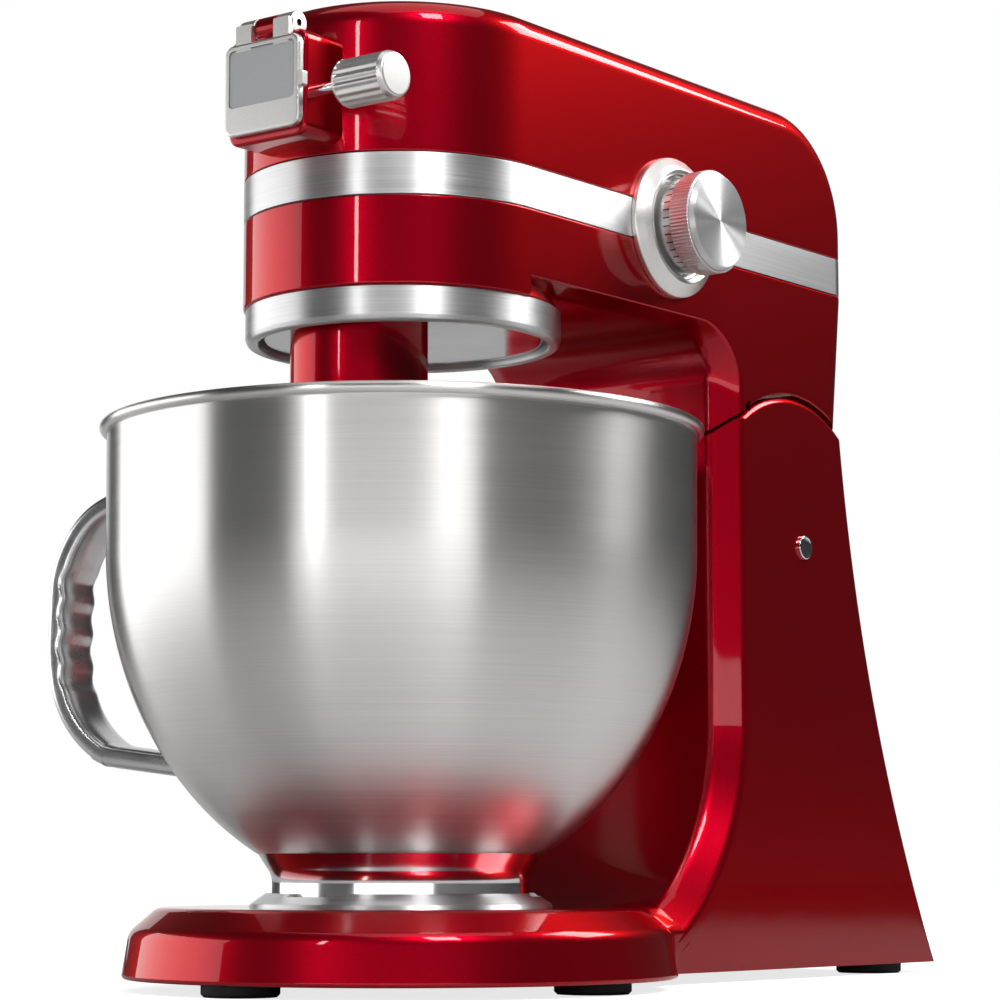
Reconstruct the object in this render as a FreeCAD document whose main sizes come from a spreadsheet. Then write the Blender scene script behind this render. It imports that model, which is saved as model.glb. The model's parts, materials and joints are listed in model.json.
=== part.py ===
import FreeCAD, Part
import math
import operator
import os
import Sketcher
from types import SimpleNamespace
from FreeCAD import Rotation, Vector

# A tilt-head stand mixer. The origin is on the bowl's axis at the table, +Z is up, the front faces -Y
# and the speed dial is on the +X side. Sizes are in millimetres, angles in degrees.
SIZES = {
    # base and column casting
    "foot_height": 4.3,
    "crease_height": 21.5,
    "deck_height": 30.5,
    "skirt_radius": 104.0,
    "crease_radius": 101.3,
    "deck_radius": 90.5,
    "half_width": 61.5,
    "bevel": 10.0,
    "waist_fillet": 25.0,
    "wall": 4.5,
    "sweep_y": 43.5,
    "sweep_height": 104.5,
    "sweep_radius": 100.0,
    "hinge_y": 181.5,
    "hinge_drop": 90.6,
    "hump_radius": 67.0,
    "seam_gap": 1.2,
    "tail_top_y": 220.7,
    "tail_foot_y": 294.3,
    "tail_bow": 11.0,
    # what closes and carries the base
    "plate_thick": 2.5,
    "plate_gap": 0.3,
    "foot_radius": 14.0,
    "front_foot_y": 88.0,
    "side_foot_x": 83.0,
    "side_foot_y": 8.0,
    "rear_foot_x": 45.0,
    "rear_foot_y": 264.0,
    "screw_radius": 1.6,
    "screw_head": 3.2,
    "board_height": 22.0,
    "board_width": 84.0,
    "board_length": 90.0,
    "inlet_radius": 7.0,
    "inlet_bore": 3.6,
    "inlet_height": 17.0,
    # bowl and its twist lock
    "lock_radius": 57.0,
    "lock_lip": 49.4,
    "lock_height": 5.1,
    "lock_floor": 0.6,
    "lug_reach": 52.0,
    "bowl_radius": 112.0,
    "rim_height": 47.0,
    "bowl_lift": 3.5,
    "bowl_drop": 131.0,
    "bowl_base": 54.0,
    "bowl_wall": 1.3,
    "bowl_bead": 2.1,
    "foot_ring": 48.3,
    "foot_wall": 2.6,
    "handle_turn": 75.0,
    "handle_reach": 150.0,
    "handle_thick": 9.0,
    "handle_width": 26.0,
    "handle_rise": 26.0,
    "handle_drop": 80.0,
    "handle_bend": 27.0,
    "handle_round": 3.4,
    # head shells
    "head_height": 100.5,
    "head_rear": 227.0,
    "under_height": 264.0,
    "lip_drop": 3.0,
    "neck_corner": 30.0,
    "crown_radius": 49.0,
    "edge_round": 10.0,
    "band_rise": 25.8,
    "band_width": 15.7,
    "band_depth": 1.5,
    "band_gap": 0.3,
    "nose_drop": 8.0,
    "collar_low": 59.5,
    "collar_high": 54.8,
    "ring_radius": 60.5,
    "ring_bore": 55.7,
    "ring_height": 13.0,
    # tilt hinge and its latch
    "pin_radius": 5.0,
    "cheek_inner": 26.0,
    "cheek_thick": 6.0,
    "bush_wall": 2.4,
    "ear_thick": 6.0,
    "yoke_drop": 31.4,
    "yoke_thick": 6.0,
    "button_y": 188.9,
    "button_rise": 4.6,
    "button_radius": 5.0,
    "button_proud": 1.6,
    "button_stem": 2.5,
    "latch_x": 41.5,
    "latch_thick": 3.0,
    "guide_thick": 2.0,
    "spring_wire": 0.9,
    "spring_radius": 4.0,
    # planetary drive
    "throw": 26.0,
    "carrier_radius": 53.8,
    "carrier_lift": 2.0,
    "carrier_thick": 7.0,
    "boss_radius": 26.0,
    "boss_drop": 27.0,
    "shaft_radius": 8.0,
    "tool_radius": 6.0,
    "tool_reach": 30.0,
    "spigot_radius": 5.5,
    "spigot_length": 17.0,
    "spigot_neck": 4.7,
    "spigot_gap": 2.5,
    "tool_pin_drop": 6.0,
    "tool_pin_radius": 2.0,
    "tool_pin_reach": 11.0,
    "gear_ring_radius": 46.0,
    "gear_flange": 50.0,
    "gear_rise": 17.0,
    "main_gear_thick": 8.0,
    "bridge_rise": 33.0,
    "deck_plate": 4.0,
    "bearing_radius": 16.0,
    "bearing_length": 9.0,
    # countershaft, motor and belt
    "lay_y": 68.0,
    "lay_radius": 6.0,
    "lay_bearing": 11.0,
    "motor_y": 163.0,
    "motor_radius": 45.0,
    "rotor_radius": 26.0,
    "motor_base": 12.0,
    "stator_height": 28.0,
    "motor_cap": 3.0,
    "rotor_shaft": 5.0,
    "pulley_large": 40.0,
    "pulley_small": 10.0,
    "pulley_rise": 53.0,
    "pulley_thick": 8.0,
    "belt_thick": 2.0,
    # accessory hub, its flap and its clamp
    "hub_half": 19.0,
    "hub_drop": 19.0,
    "hub_climb": 21.0,
    "hub_front": 79.0,
    "hub_rise": 64.0,
    "hub_bore": 14.0,
    "hub_depth": 13.0,
    "hub_bush": 9.0,
    "bevel_reach": 18.0,
    "bevel_face": 6.0,
    "flap_half": 18.3,
    "flap_drop": 16.0,
    "flap_climb": 18.5,
    "flap_thick": 2.8,
    "flap_pin_y": 76.0,
    "flap_pin_rise": 24.0,
    "knuckle_radius": 4.4,
    "knuckle_half": 13.0,
    "knuckle_gap": 5.4,
    "clamp_y": 73.0,
    "clamp_drop": 2.0,
    "clamp_rod": 2.2,
    "clamp_knob": 9.0,
    "clamp_knob_start": 33.0,
    "clamp_knob_end": 57.0,
    # speed dial
    "dial_y": 93.0,
    "dial_flange": 28.0,
    "dial_rise": 6.5,
    "dial_well": 21.0,
    "dial_skirt": 19.0,
    "dial_knurl": 20.5,
    "dial_cap": 18.2,
    "dial_end": 85.0,
    "dial_shaft": 4.0,
    "switch_size": 20.0,
    # fits
    "run_fit": 0.05,
    "seat_fit": 0.02,
    "free_gap": 0.4,
}
# Heights above the table that follow from the sizes: the bowl stands on the deck, and the hinge, drive and
# hub keep their places in the head when its underside is set higher or lower.
TIED = {
    "lock_top": "deck_height + lock_height",
    "bowl_shoulder": "deck_height + bowl_lift + bowl_drop",
    "bowl_rim": "bowl_shoulder + rim_height",
    "handle_top": "bowl_shoulder + handle_rise",
    "handle_bottom": "bowl_shoulder - handle_drop",
    "head_top": "under_height + head_height",
    "band_low": "under_height + band_rise",
    "band_high": "band_low + band_width",
    "nose_low": "under_height - nose_drop",
    "ring_low": "nose_low - ring_height",
    "hinge_height": "under_height - hinge_drop",
    "yoke_height": "hinge_height - yoke_drop",
    "button_height": "hinge_height + button_rise",
    "carrier_low": "ring_low + carrier_lift",
    "boss_low": "carrier_low - boss_drop",
    "tool_low": "boss_low - tool_reach",
    "spigot_top": "tool_low + spigot_length",
    "tool_pin_height": "boss_low - tool_pin_drop",
    "main_gear_low": "under_height + gear_rise",
    "bridge_height": "under_height + bridge_rise",
    "pulley_height": "under_height + pulley_rise",
    "hub_axis": "under_height + hub_rise",
    "hub_low": "hub_axis - hub_drop",
    "hub_high": "hub_axis + hub_climb",
    "flap_low": "hub_axis - flap_drop",
    "flap_high": "hub_axis + flap_climb",
    "flap_pin_height": "hub_axis + flap_pin_rise",
    "clamp_height": "hub_axis - clamp_drop",
}

RING_TEETH = 70
PLANET_TEETH = 18
MAIN_TEETH = 50
LAY_TEETH = 18
BEVEL_TEETH = 16
KNURLS = 60
FLUTES = 18
LUGS = 3
GRIP_WAVES = 4
FAN_BLADES = 9
STATOR_SLOTS = 12
SPRING_TURNS = 4
PRESSURE_ANGLE = math.radians(20)
LUG_WIDTH = 26.0
UNLOCK_TURN = 32.0
X_AXIS = Vector(1, 0, 0)
Y_AXIS = Vector(0, 1, 0)
Z_AXIS = Vector(0, 0, 1)
# Turns that lay a piece made upright along another axis.
LAID = {"Z": Rotation(), "X": Rotation(Y_AXIS, 90), "Y": Rotation(X_AXIS, -90)}
OPERATORS = {"+": operator.add, "-": operator.sub, "*": operator.mul, "/": operator.truediv}

doc = FreeCAD.newDocument("stand_mixer")
sheet = doc.addObject("Spreadsheet::Sheet", "Sizes")
for row, (alias, number) in enumerate(SIZES.items(), start=1):
    sheet.set(f"A{row}", str(number))
    sheet.setAlias(f"A{row}", alias)
for row, (alias, formula) in enumerate(TIED.items(), start=1):
    sheet.set(f"B{row}", f"={formula}")
    sheet.setAlias(f"B{row}", alias)
doc.recompute()
nodes = {}


class Size:
    """A size that carries its value and the expression that ties it to the sheet."""

    def __init__(self, value, text):
        self.value = value
        self.text = text

    def __add__(self, other):
        return combined(self, "+", other)

    def __radd__(self, other):
        return combined(other, "+", self)

    def __sub__(self, other):
        return combined(self, "-", other)

    def __rsub__(self, other):
        return combined(other, "-", self)

    def __mul__(self, other):
        return combined(self, "*", other)

    def __rmul__(self, other):
        return combined(other, "*", self)

    def __truediv__(self, other):
        return combined(self, "/", other)

    def __neg__(self):
        return combined(0, "-", self)


def as_size(item):
    """A plain number as a Size."""
    return item if isinstance(item, Size) else Size(float(item), f"({float(item)})")


def combined(left, sign, right):
    """Two sizes joined by an arithmetic sign."""
    first, second = as_size(left), as_size(right)
    value = OPERATORS[sign](first.value, second.value)
    return Size(value, f"({first.text} {sign} {second.text})")


s = SimpleNamespace(**{alias: Size(sheet.get(alias), f"Sizes.{alias}") for alias in (*SIZES, *TIED)})
v = SimpleNamespace(**{alias: sheet.get(alias) for alias in (*SIZES, *TIED)})


def node(name, item):
    """Marks an object as a finished sub-part."""
    item.Label = name
    nodes[name] = item
    return item


def bind(item, **sizes):
    """Ties an object's properties to the sheet."""
    for prop, size in sizes.items():
        item.setExpression(prop, as_size(size).text)
    return item


def place(item, at, axis="Z"):
    """Puts an object at a point tied to the sheet, laid along an axis."""
    item.Placement = FreeCAD.Placement(Vector(), LAID[axis])
    for letter, size in zip("xyz", at):
        item.setExpression(f"Placement.Base.{letter}", as_size(size).text)
    return item


def box(name, low, high):
    """A block between two corners."""
    item = doc.addObject("Part::Box", name)
    length, width, height = (as_size(b) - a for a, b in zip(low, high))
    bind(item, Length=length, Width=width, Height=height)
    return place(item, low)


def rod(name, radius, start, length, axis="Z"):
    """A round bar from a start point along an axis."""
    item = doc.addObject("Part::Cylinder", name)
    bind(item, Radius=radius, Height=length)
    return place(item, start, axis)


def cone(name, start_radius, end_radius, start, length, axis="Z"):
    """A tapered round bar from a start point along an axis."""
    item = doc.addObject("Part::Cone", name)
    bind(item, Radius1=start_radius, Radius2=end_radius, Height=length)
    return place(item, start, axis)


def fuse(name, *pieces):
    """One solid from several that meet."""
    item = doc.addObject("Part::MultiFuse", name)
    item.Shapes = list(pieces)
    item.Refine = True
    return item


def cut(name, base, *tools):
    """A solid less one or more others."""
    item = doc.addObject("Part::Cut", name)
    item.Base = base
    item.Tool = tools[0] if len(tools) == 1 else fuse(f"{name}_tools", *tools)
    item.Refine = True
    return item


def common(name, first, second):
    """What two solids share."""
    item = doc.addObject("Part::Common", name)
    item.Base = first
    item.Tool = second
    return item


def tube(name, outer, inner, start, length, axis="Z"):
    """A round bar with a round hole right through it."""
    return cut(
        name,
        rod(f"{name}_outer", outer, start, length, axis),
        rod(f"{name}_inner", inner, start, length, axis),
    )


def made(name, shape):
    """A shape worked out here from the sheet's sizes."""
    item = doc.addObject("Part::Feature", name)
    item.Shape = shape
    return item


def group(name, *pieces):
    """Separate solids that share one node."""
    item = doc.addObject("Part::Compound", name)
    item.Links = list(pieces)
    return node(name, item)


def turned(name, profile, at=(0, 0, 0), axis="Z"):
    """A body of revolution from a closed profile of (radius, height) points about its own axis."""
    body = doc.addObject("PartDesign::Body", name)
    sketch = body.newObject("Sketcher::SketchObject", f"{name}_profile")
    plane = [item for item in body.Origin.OriginFeatures if item.Role == "XZ_Plane"][0]
    sketch.AttachmentSupport = [(plane, "")]
    sketch.MapMode = "FlatFace"
    draw_polygon(sketch, profile)
    turn = body.newObject("PartDesign::Revolution", f"{name}_turn")
    turn.Profile = sketch
    turn.ReferenceAxis = (sketch, ["V_Axis"])
    turn.Angle = 360
    return place(body, at, axis)


def padded(name, plane_role, profile, at, length, backwards=False):
    """A plate from a closed outline on one of the body's planes, as thick as length."""
    body = doc.addObject("PartDesign::Body", name)
    sketch = body.newObject("Sketcher::SketchObject", f"{name}_outline")
    plane = [item for item in body.Origin.OriginFeatures if item.Role == plane_role][0]
    sketch.AttachmentSupport = [(plane, "")]
    sketch.MapMode = "FlatFace"
    draw_polygon(sketch, profile)
    pad = body.newObject("PartDesign::Pad", f"{name}_pad")
    pad.Profile = sketch
    pad.Reversed = backwards
    bind(pad, Length=length)
    return place(body, at)


def draw_polygon(sketch, points):
    """Straight sides between points whose two coordinates are tied to the sheet."""
    places = [(as_size(x), as_size(y)) for x, y in points]
    corners = [Vector(x.value, y.value, 0) for x, y in places]
    lines = [Part.LineSegment(a, b) for a, b in zip(corners, corners[1:] + corners[:1])]
    sketch.addGeometry(lines, False)
    count = len(lines)
    for index in range(count):
        sketch.addConstraint(Sketcher.Constraint("Coincident", index, 2, (index + 1) % count, 1))
    for index, sizes in enumerate(places):
        for kind, cross_axis, size in zip(("DistanceX", "DistanceY"), (-2, -1), sizes):
            if size.value == 0:
                sketch.addConstraint(Sketcher.Constraint("PointOnObject", index, 1, cross_axis))
                continue
            number = sketch.addConstraint(Sketcher.Constraint(kind, -1, 1, index, 1, size.value))
            sketch.setExpression(f"Constraints[{number}]", size.text)


def outline(start, *steps):
    """A closed wire: each step is the next corner, or the middle and end of an arc."""
    edges = []
    here = start
    for step in steps:
        if isinstance(step, tuple):
            edges.append(Part.Arc(here, *step).toShape())
            here = step[1]
        else:
            edges.append(Part.LineSegment(here, step).toShape())
            here = step
    if here.distanceToPoint(start) > 1e-6:
        edges.append(Part.LineSegment(here, start).toShape())
    return Part.Wire(edges)


def polar(centre, radius, degrees, lift=0.0):
    """A point at a radius and angle from a centre in the X-Y plane."""
    turn = math.radians(degrees)
    return Vector(centre[0] + radius * math.cos(turn), centre[1] + radius * math.sin(turn), lift)


def prism(wire, direction):
    """A flat outline drawn out along a direction."""
    return Part.Face(wire).extrude(direction)


def base_outline(height, radius, half_width, fillet, rear):
    """The base in plan at one height: a round front that runs through hollow fillets into straight sides."""
    centre_x = half_width + fillet
    centre_y = math.sqrt((radius + fillet) ** 2 - centre_x**2)
    share = radius / (radius + fillet)
    meet = math.degrees(math.atan2(centre_y, centre_x))

    def side(sign):
        touch = Vector(sign * centre_x * share, centre_y * share, height)
        middle = polar((centre_x, centre_y), fillet, 180 + meet / 2, height)
        middle.x *= sign
        quarter = polar((0, 0), radius, (meet - 90) / 2, height)
        quarter.x *= sign
        return touch, middle, quarter, Vector(sign * half_width, centre_y, height)

    left_touch, left_middle, left_quarter, left_side = side(-1)
    right_touch, right_middle, right_quarter, right_side = side(1)
    return outline(
        Vector(-half_width, rear, height),
        left_side,
        (left_middle, left_touch),
        (left_quarter, Vector(0, -radius, height)),
        (right_quarter, right_touch),
        (right_middle, right_side),
        Vector(half_width, rear, height),
    )


def column_outline(x, bevel, inset, low):
    """The column seen from the side at one X: a swept front, a round hump on top and a flared tail."""
    radius = v.sweep_radius - bevel + inset
    start_z = (v.deck_height if bevel else v.crease_height) - inset
    drop = v.sweep_height - start_z
    start_y = v.sweep_y + math.sqrt(radius**2 - drop**2)
    half_turn = math.asin(drop / radius) / 2
    front = v.sweep_y + radius
    hump = v.hump_radius - inset
    tail_top = v.tail_top_y - inset
    tail_foot = v.tail_foot_y - inset

    def on_hump(y):
        return Vector(x, y, v.hinge_height + math.sqrt(hump**2 - (y - v.hinge_y) ** 2))

    top = on_hump(tail_top)
    foot = Vector(x, tail_foot, low)
    lean = Vector(0, foot.z - top.z, top.y - foot.y).normalize()
    return outline(
        Vector(x, start_y, low),
        Vector(x, start_y, start_z),
        (
            Vector(
                x,
                v.sweep_y + radius * math.cos(half_turn),
                v.sweep_height - radius * math.sin(half_turn),
            ),
            Vector(x, front, v.sweep_height),
        ),
        on_hump(front),
        (Vector(x, v.hinge_y, v.hinge_height + hump), top),
        ((top + foot) * 0.5 + lean * v.tail_bow, foot),
    )


def across(half_width, bevel, draw):
    """A solid between side outlines at the two flanks and, inside the bevels, at the two inner lines."""
    inner = half_width - bevel
    wires = [draw(-half_width, 0), draw(-inner, bevel), draw(inner, bevel), draw(half_width, 0)]
    return Part.makeLoft(wires, True, True).removeSplitter()


def make_base_casting():
    """The hollow base and column, open underneath, with the slots that the hinge cheeks swing in."""
    rear = v.hinge_y - v.seam_gap
    heights = (
        (v.foot_height, v.skirt_radius, v.half_width, v.waist_fillet),
        (v.crease_height, v.crease_radius, v.half_width, v.waist_fillet),
        (v.deck_height, v.deck_radius, v.half_width - v.bevel, v.waist_fillet + v.bevel),
    )
    deck = Part.makeLoft([base_outline(z, r, w, f, rear) for z, r, w, f in heights], True, True)
    hollow_heights = (
        (v.foot_height - v.wall, v.skirt_radius, v.half_width, v.waist_fillet),
        (v.crease_height - v.wall / 2, v.crease_radius, v.half_width, v.waist_fillet),
        (v.deck_height - v.wall, v.deck_radius, v.half_width - v.bevel, v.waist_fillet + v.bevel),
    )
    hollow_rows = [base_outline(z, r - v.wall, w - v.wall, f + v.wall, rear) for z, r, w, f in hollow_heights]
    deck_hollow = Part.makeLoft(hollow_rows, True, True)
    column = across(v.half_width, v.bevel, lambda x, bevel: column_outline(x, bevel, 0, v.foot_height))
    hollow = across(
        v.half_width - v.wall,
        v.bevel,
        lambda x, bevel: column_outline(x, bevel, v.wall, v.foot_height - v.wall),
    )
    shell = cut(
        "casting_shell",
        fuse("casting_outside", made("deck", deck), made("column", column)),
        made("deck_hollow", deck_hollow),
        made("column_hollow", hollow),
    )
    inner = s.half_width - s.wall
    seat = s.yoke_height - s.yoke_thick
    ledges = [
        box(
            f"yoke_ledge_{side}",
            (
                -inner - 1 if side == "left" else inner - s.bevel,
                s.hinge_y - s.hump_radius / 3,
                seat - s.bevel,
            ),
            (-inner + s.bevel if side == "left" else inner + 1, s.hinge_y + s.hump_radius / 3, seat),
        )
        for side in ("left", "right")
    ]
    slot_half = s.cheek_thick / 2 + s.free_gap * 2
    middle = s.cheek_inner + s.cheek_thick / 2
    slots = [
        box(
            f"cheek_slot_{index}",
            (
                sign * middle - slot_half,
                s.hinge_y - s.hump_radius * 0.57,
                s.hinge_height + s.hump_radius / 2,
            ),
            (
                sign * middle + slot_half,
                s.hinge_y + s.hump_radius * 0.49,
                s.hinge_height + s.hump_radius + 1,
            ),
        )
        for index, sign in enumerate((-1, 1))
    ]
    button_hole = rod(
        "button_hole",
        s.button_radius + s.run_fit,
        (inner - 1, s.button_y, s.button_height),
        s.wall + 2,
        "X",
    )
    inlet_hole = rod(
        "inlet_hole",
        s.inlet_radius + s.seat_fit,
        (0, s.tail_foot_y - s.wall * 5, s.inlet_height),
        s.wall * 6,
        "Y",
    )
    whole = fuse("casting_with_ledges", shell, *ledges)
    node("base_casting", cut("base_casting", whole, *slots, button_hole, inlet_hole))


def make_bottom():
    """The plate that closes the base, its feet and screws, the circuit board on posts and the cord inlet."""
    inset = v.wall + v.plate_gap * 4
    rear = v.hinge_y
    front = base_outline(
        v.foot_height, v.skirt_radius - inset, v.half_width - inset, v.waist_fillet + inset, rear
    )
    thick = Vector(0, 0, v.plate_thick)
    inside = s.half_width - s.wall - s.plate_gap
    tail = box(
        "plate_tail",
        (-inside, s.hinge_y - 1, s.foot_height),
        (inside, s.tail_foot_y - s.wall * 2, s.foot_height + s.plate_thick),
    )
    spots = [
        (0, -s.front_foot_y),
        (s.side_foot_x, s.side_foot_y),
        (-s.side_foot_x, s.side_foot_y),
        (s.rear_foot_x, s.rear_foot_y),
        (-s.rear_foot_x, s.rear_foot_y),
    ]
    board_y = s.hinge_y + s.bevel
    posts = []
    for index, (across_sign, along_sign) in enumerate(((-1, -1), (-1, 1), (1, -1), (1, 1))):
        x = across_sign * (s.board_width / 2 - s.wall)
        y = board_y + along_sign * (s.board_length / 2 - s.wall)
        posts.append(
            rod(f"board_post_{index}", s.screw_head, (x, y, s.foot_height), s.board_height - s.foot_height)
        )
    plate = fuse("plate_blank", made("plate_front", prism(front, thick)), tail, *posts)
    holes = [
        rod(f"plate_hole_{index}", s.screw_radius + s.run_fit, (x, y, 0), s.foot_height + s.plate_thick + 1)
        for index, (x, y) in enumerate(spots)
    ]
    vents = [
        box(
            f"plate_vent_{index}",
            (-s.board_width / 4, s.sweep_y + index * s.bevel, s.foot_height - 1),
            (s.board_width / 4, s.sweep_y + index * s.bevel + s.wall, s.foot_height + s.plate_thick + 1),
        )
        for index in range(6)
    ]
    node("bottom_plate", cut("bottom_plate", plate, *holes, *vents))

    feet, screws = [], []
    for index, (x, y) in enumerate(spots):
        sole = s.foot_height / 4
        pad = fuse(
            f"foot_pad_{index}",
            cone(f"foot_sole_{index}", s.foot_radius - sole, s.foot_radius, (x, y, 0), sole),
            rod(f"foot_body_{index}", s.foot_radius, (x, y, sole), s.foot_height - sole),
        )
        head_top = s.foot_height * 0.6
        feet.append(
            cut(
                f"foot_{index}",
                pad,
                rod(f"foot_well_{index}", s.screw_head + s.free_gap, (x, y, 0), head_top),
                rod(f"foot_bore_{index}", s.screw_radius + s.run_fit, (x, y, 0), s.foot_height + 1),
            )
        )
        screws.append(
            fuse(
                f"foot_screw_{index}",
                rod(f"screw_head_{index}", s.screw_head, (x, y, head_top - s.screw_radius), s.screw_radius),
                rod(
                    f"screw_shank_{index}",
                    s.screw_radius,
                    (x, y, head_top - s.screw_radius),
                    s.foot_height + s.plate_thick - head_top + s.screw_radius * 2,
                ),
            )
        )
    group("rubber_feet", *feet)
    group("base_screws", *screws)

    half = s.board_width / 2
    low_y, high_y = board_y - s.board_length / 2, board_y + s.board_length / 2
    board_top = s.board_height + s.plate_thick * 0.64
    edge_y = low_y + s.board_length * 0.09
    node(
        "control_board",
        fuse(
            "control_board",
            box("card", (-half, low_y, s.board_height), (half, high_y, board_top)),
            box(
                "choke",
                (-half / 2, edge_y, board_top),
                (-half / 8, edge_y + s.board_length * 0.27, board_top + half * 0.43),
            ),
            box(
                "heat_sink",
                (half / 8, edge_y, board_top),
                (half * 0.8, edge_y + s.board_length * 0.13, board_top + half * 0.62),
            ),
            rod(
                "capacitor",
                s.screw_head * 2.4,
                (half / 2, board_y + s.board_length * 0.18, board_top),
                half * 0.57,
            ),
        ),
    )
    inlet_y = s.tail_foot_y - s.wall * 4
    node(
        "cord_inlet",
        cut(
            "cord_inlet",
            rod("inlet_body", s.inlet_radius, (0, inlet_y, s.inlet_height), s.wall * 4 + 2, "Y"),
            rod("inlet_bore_cut", s.inlet_bore, (0, inlet_y - 1, s.inlet_height), s.wall * 5, "Y"),
        ),
    )


def bowl_ellipse_height(radius):
    """Height of the bowl's outside below its shoulder at a radius."""
    return v.bowl_shoulder - v.bowl_drop * math.sqrt(1 - (radius / v.bowl_radius) ** 2)


def make_bowl():
    """The spun bowl with its rolled lip, the foot with lugs under it, and the lock plate they turn in."""
    base_z = bowl_ellipse_height(v.bowl_base)
    inner_radius = v.bowl_radius - v.bowl_wall
    straight_top = v.bowl_rim - v.bowl_bead
    down = v.bowl_drop - v.bowl_wall
    floor_z = base_z + v.bowl_wall
    floor_radius = inner_radius * math.sqrt(1 - ((v.bowl_shoulder - floor_z) / down) ** 2)
    shoulder = Vector(0, 0, v.bowl_shoulder)

    def quarter(across_axis, down_axis, edge):
        """The elliptical part of the wall, through a point a third of the way round it."""
        ellipse = Part.Ellipse(
            shoulder - Vector(0, 0, down_axis), shoulder + Vector(across_axis, 0, 0), shoulder
        )
        ends = [ellipse.parameter(point) for point in (edge, shoulder + Vector(across_axis, 0, 0))]
        return Part.ArcOfEllipse(ellipse, min(ends), max(ends)).toShape()

    outer_foot = Vector(v.bowl_base, 0, base_z)
    outer_shoulder = Vector(v.bowl_radius, 0, v.bowl_shoulder)
    inner_foot = Vector(floor_radius, 0, floor_z)
    inner_shoulder = Vector(inner_radius, 0, v.bowl_shoulder)
    bead_centre = Vector(v.bowl_radius + v.bowl_bead / 2, 0, straight_top)
    bead_low = Vector(v.bowl_radius, 0, straight_top - v.bowl_bead)
    bead_out = Vector(bead_centre.x + v.bowl_bead, 0, straight_top)
    bead_top = Vector(bead_centre.x, 0, v.bowl_rim)
    bead_in = Vector(inner_radius, 0, straight_top)
    slant = v.bowl_bead * math.sqrt(0.5)
    edges = [
        Part.LineSegment(Vector(0, 0, base_z), outer_foot).toShape(),
        quarter(v.bowl_radius, v.bowl_drop, outer_foot),
        Part.LineSegment(outer_shoulder, bead_low).toShape(),
        Part.Arc(bead_low, bead_centre + Vector(slant, 0, -slant), bead_out).toShape(),
        Part.Arc(bead_out, bead_centre + Vector(slant, 0, slant), bead_top).toShape(),
        Part.LineSegment(bead_top, bead_in).toShape(),
        Part.LineSegment(bead_in, inner_shoulder).toShape(),
        quarter(inner_radius, down, inner_foot),
        Part.LineSegment(inner_foot, Vector(0, 0, floor_z)).toShape(),
        Part.LineSegment(Vector(0, 0, floor_z), Vector(0, 0, base_z)).toShape(),
    ]
    section = Part.Face(Part.Wire(Part.__sortEdges__(edges)))
    node("bowl_shell", made("bowl_shell", section.revolve(Vector(), Z_AXIS, 360)))

    floor = s.deck_height + s.lock_floor
    foot_low = floor + s.plate_gap
    base = s.bowl_shoulder - s.bowl_drop * ratio_root(s.bowl_base, s.bowl_radius)
    flare = s.bowl_base - s.foot_ring
    ring = turned(
        "foot_turning",
        (
            (s.foot_ring - s.foot_wall, foot_low),
            (s.foot_ring, foot_low),
            (s.foot_ring, base - flare * 1.7),
            (s.foot_ring + flare * 0.12, base - flare * 1.05),
            (s.foot_ring + flare * 0.45, base - flare * 0.4),
            (s.bowl_base - s.plate_gap, base),
            (s.foot_ring - s.foot_wall, base),
        ),
    )
    lug_low = floor + s.plate_gap
    lug_high = s.lock_top - s.foot_wall * 0.8
    half = LUG_WIDTH / 2
    sector = outline(
        polar((0, 0), v.foot_ring - v.foot_wall / 2, -half),
        (
            polar((0, 0), v.foot_ring - v.foot_wall / 2, 0),
            polar((0, 0), v.foot_ring - v.foot_wall / 2, half),
        ),
        polar((0, 0), v.lug_reach, half),
        (polar((0, 0), v.lug_reach, 0), polar((0, 0), v.lug_reach, -half)),
    )
    lugs = []
    for index in range(LUGS):
        lug = prism(sector, Vector(0, 0, lug_high.value - lug_low.value))
        lug.translate(Vector(0, 0, lug_low.value))
        lug.rotate(Vector(), Z_AXIS, index * 360 / LUGS)
        lugs.append(made(f"lug_{index}", lug))
    node("bowl_foot", fuse("bowl_foot", ring, *lugs))

    well = s.lug_reach + s.free_gap
    lip = lug_high + s.free_gap
    plate = turned(
        "lock_turning",
        (
            (0, s.deck_height),
            (s.lock_radius, s.deck_height),
            (s.lock_radius - s.lock_floor, s.deck_height + s.lock_floor * 2),
            (s.lock_lip + s.foot_wall / 2, s.lock_top),
            (s.lock_lip, s.lock_top),
            (s.lock_lip, lip),
            (well, lip),
            (well, floor),
            (0, floor),
        ),
    )
    gate_half = half + 2
    gate_inner, gate_outer = v.lock_lip - 2, v.lug_reach + v.free_gap
    gate = outline(
        polar((0, 0), gate_inner, -gate_half),
        (polar((0, 0), gate_inner, 0), polar((0, 0), gate_inner, gate_half)),
        polar((0, 0), gate_outer, gate_half),
        (polar((0, 0), gate_outer, 0), polar((0, 0), gate_outer, -gate_half)),
    )
    gates = []
    for index in range(LUGS):
        gap = prism(gate, Vector(0, 0, v.lock_top))
        gap.translate(Vector(0, 0, lug_low.value))
        gap.rotate(Vector(), Z_AXIS, index * 360 / LUGS + UNLOCK_TURN)
        gates.append(made(f"gate_{index}", gap))
    node("bowl_lock_plate", cut("bowl_lock_plate", plate, *gates))


def ratio_root(part, whole):
    """The square root of one less the square of a ratio, tied to the sheet."""
    value = math.sqrt(1 - (part.value / whole.value) ** 2)
    return Size(value, f"sqrt(1 - pow({part.text} / {whole.text}; 2))")


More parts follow.
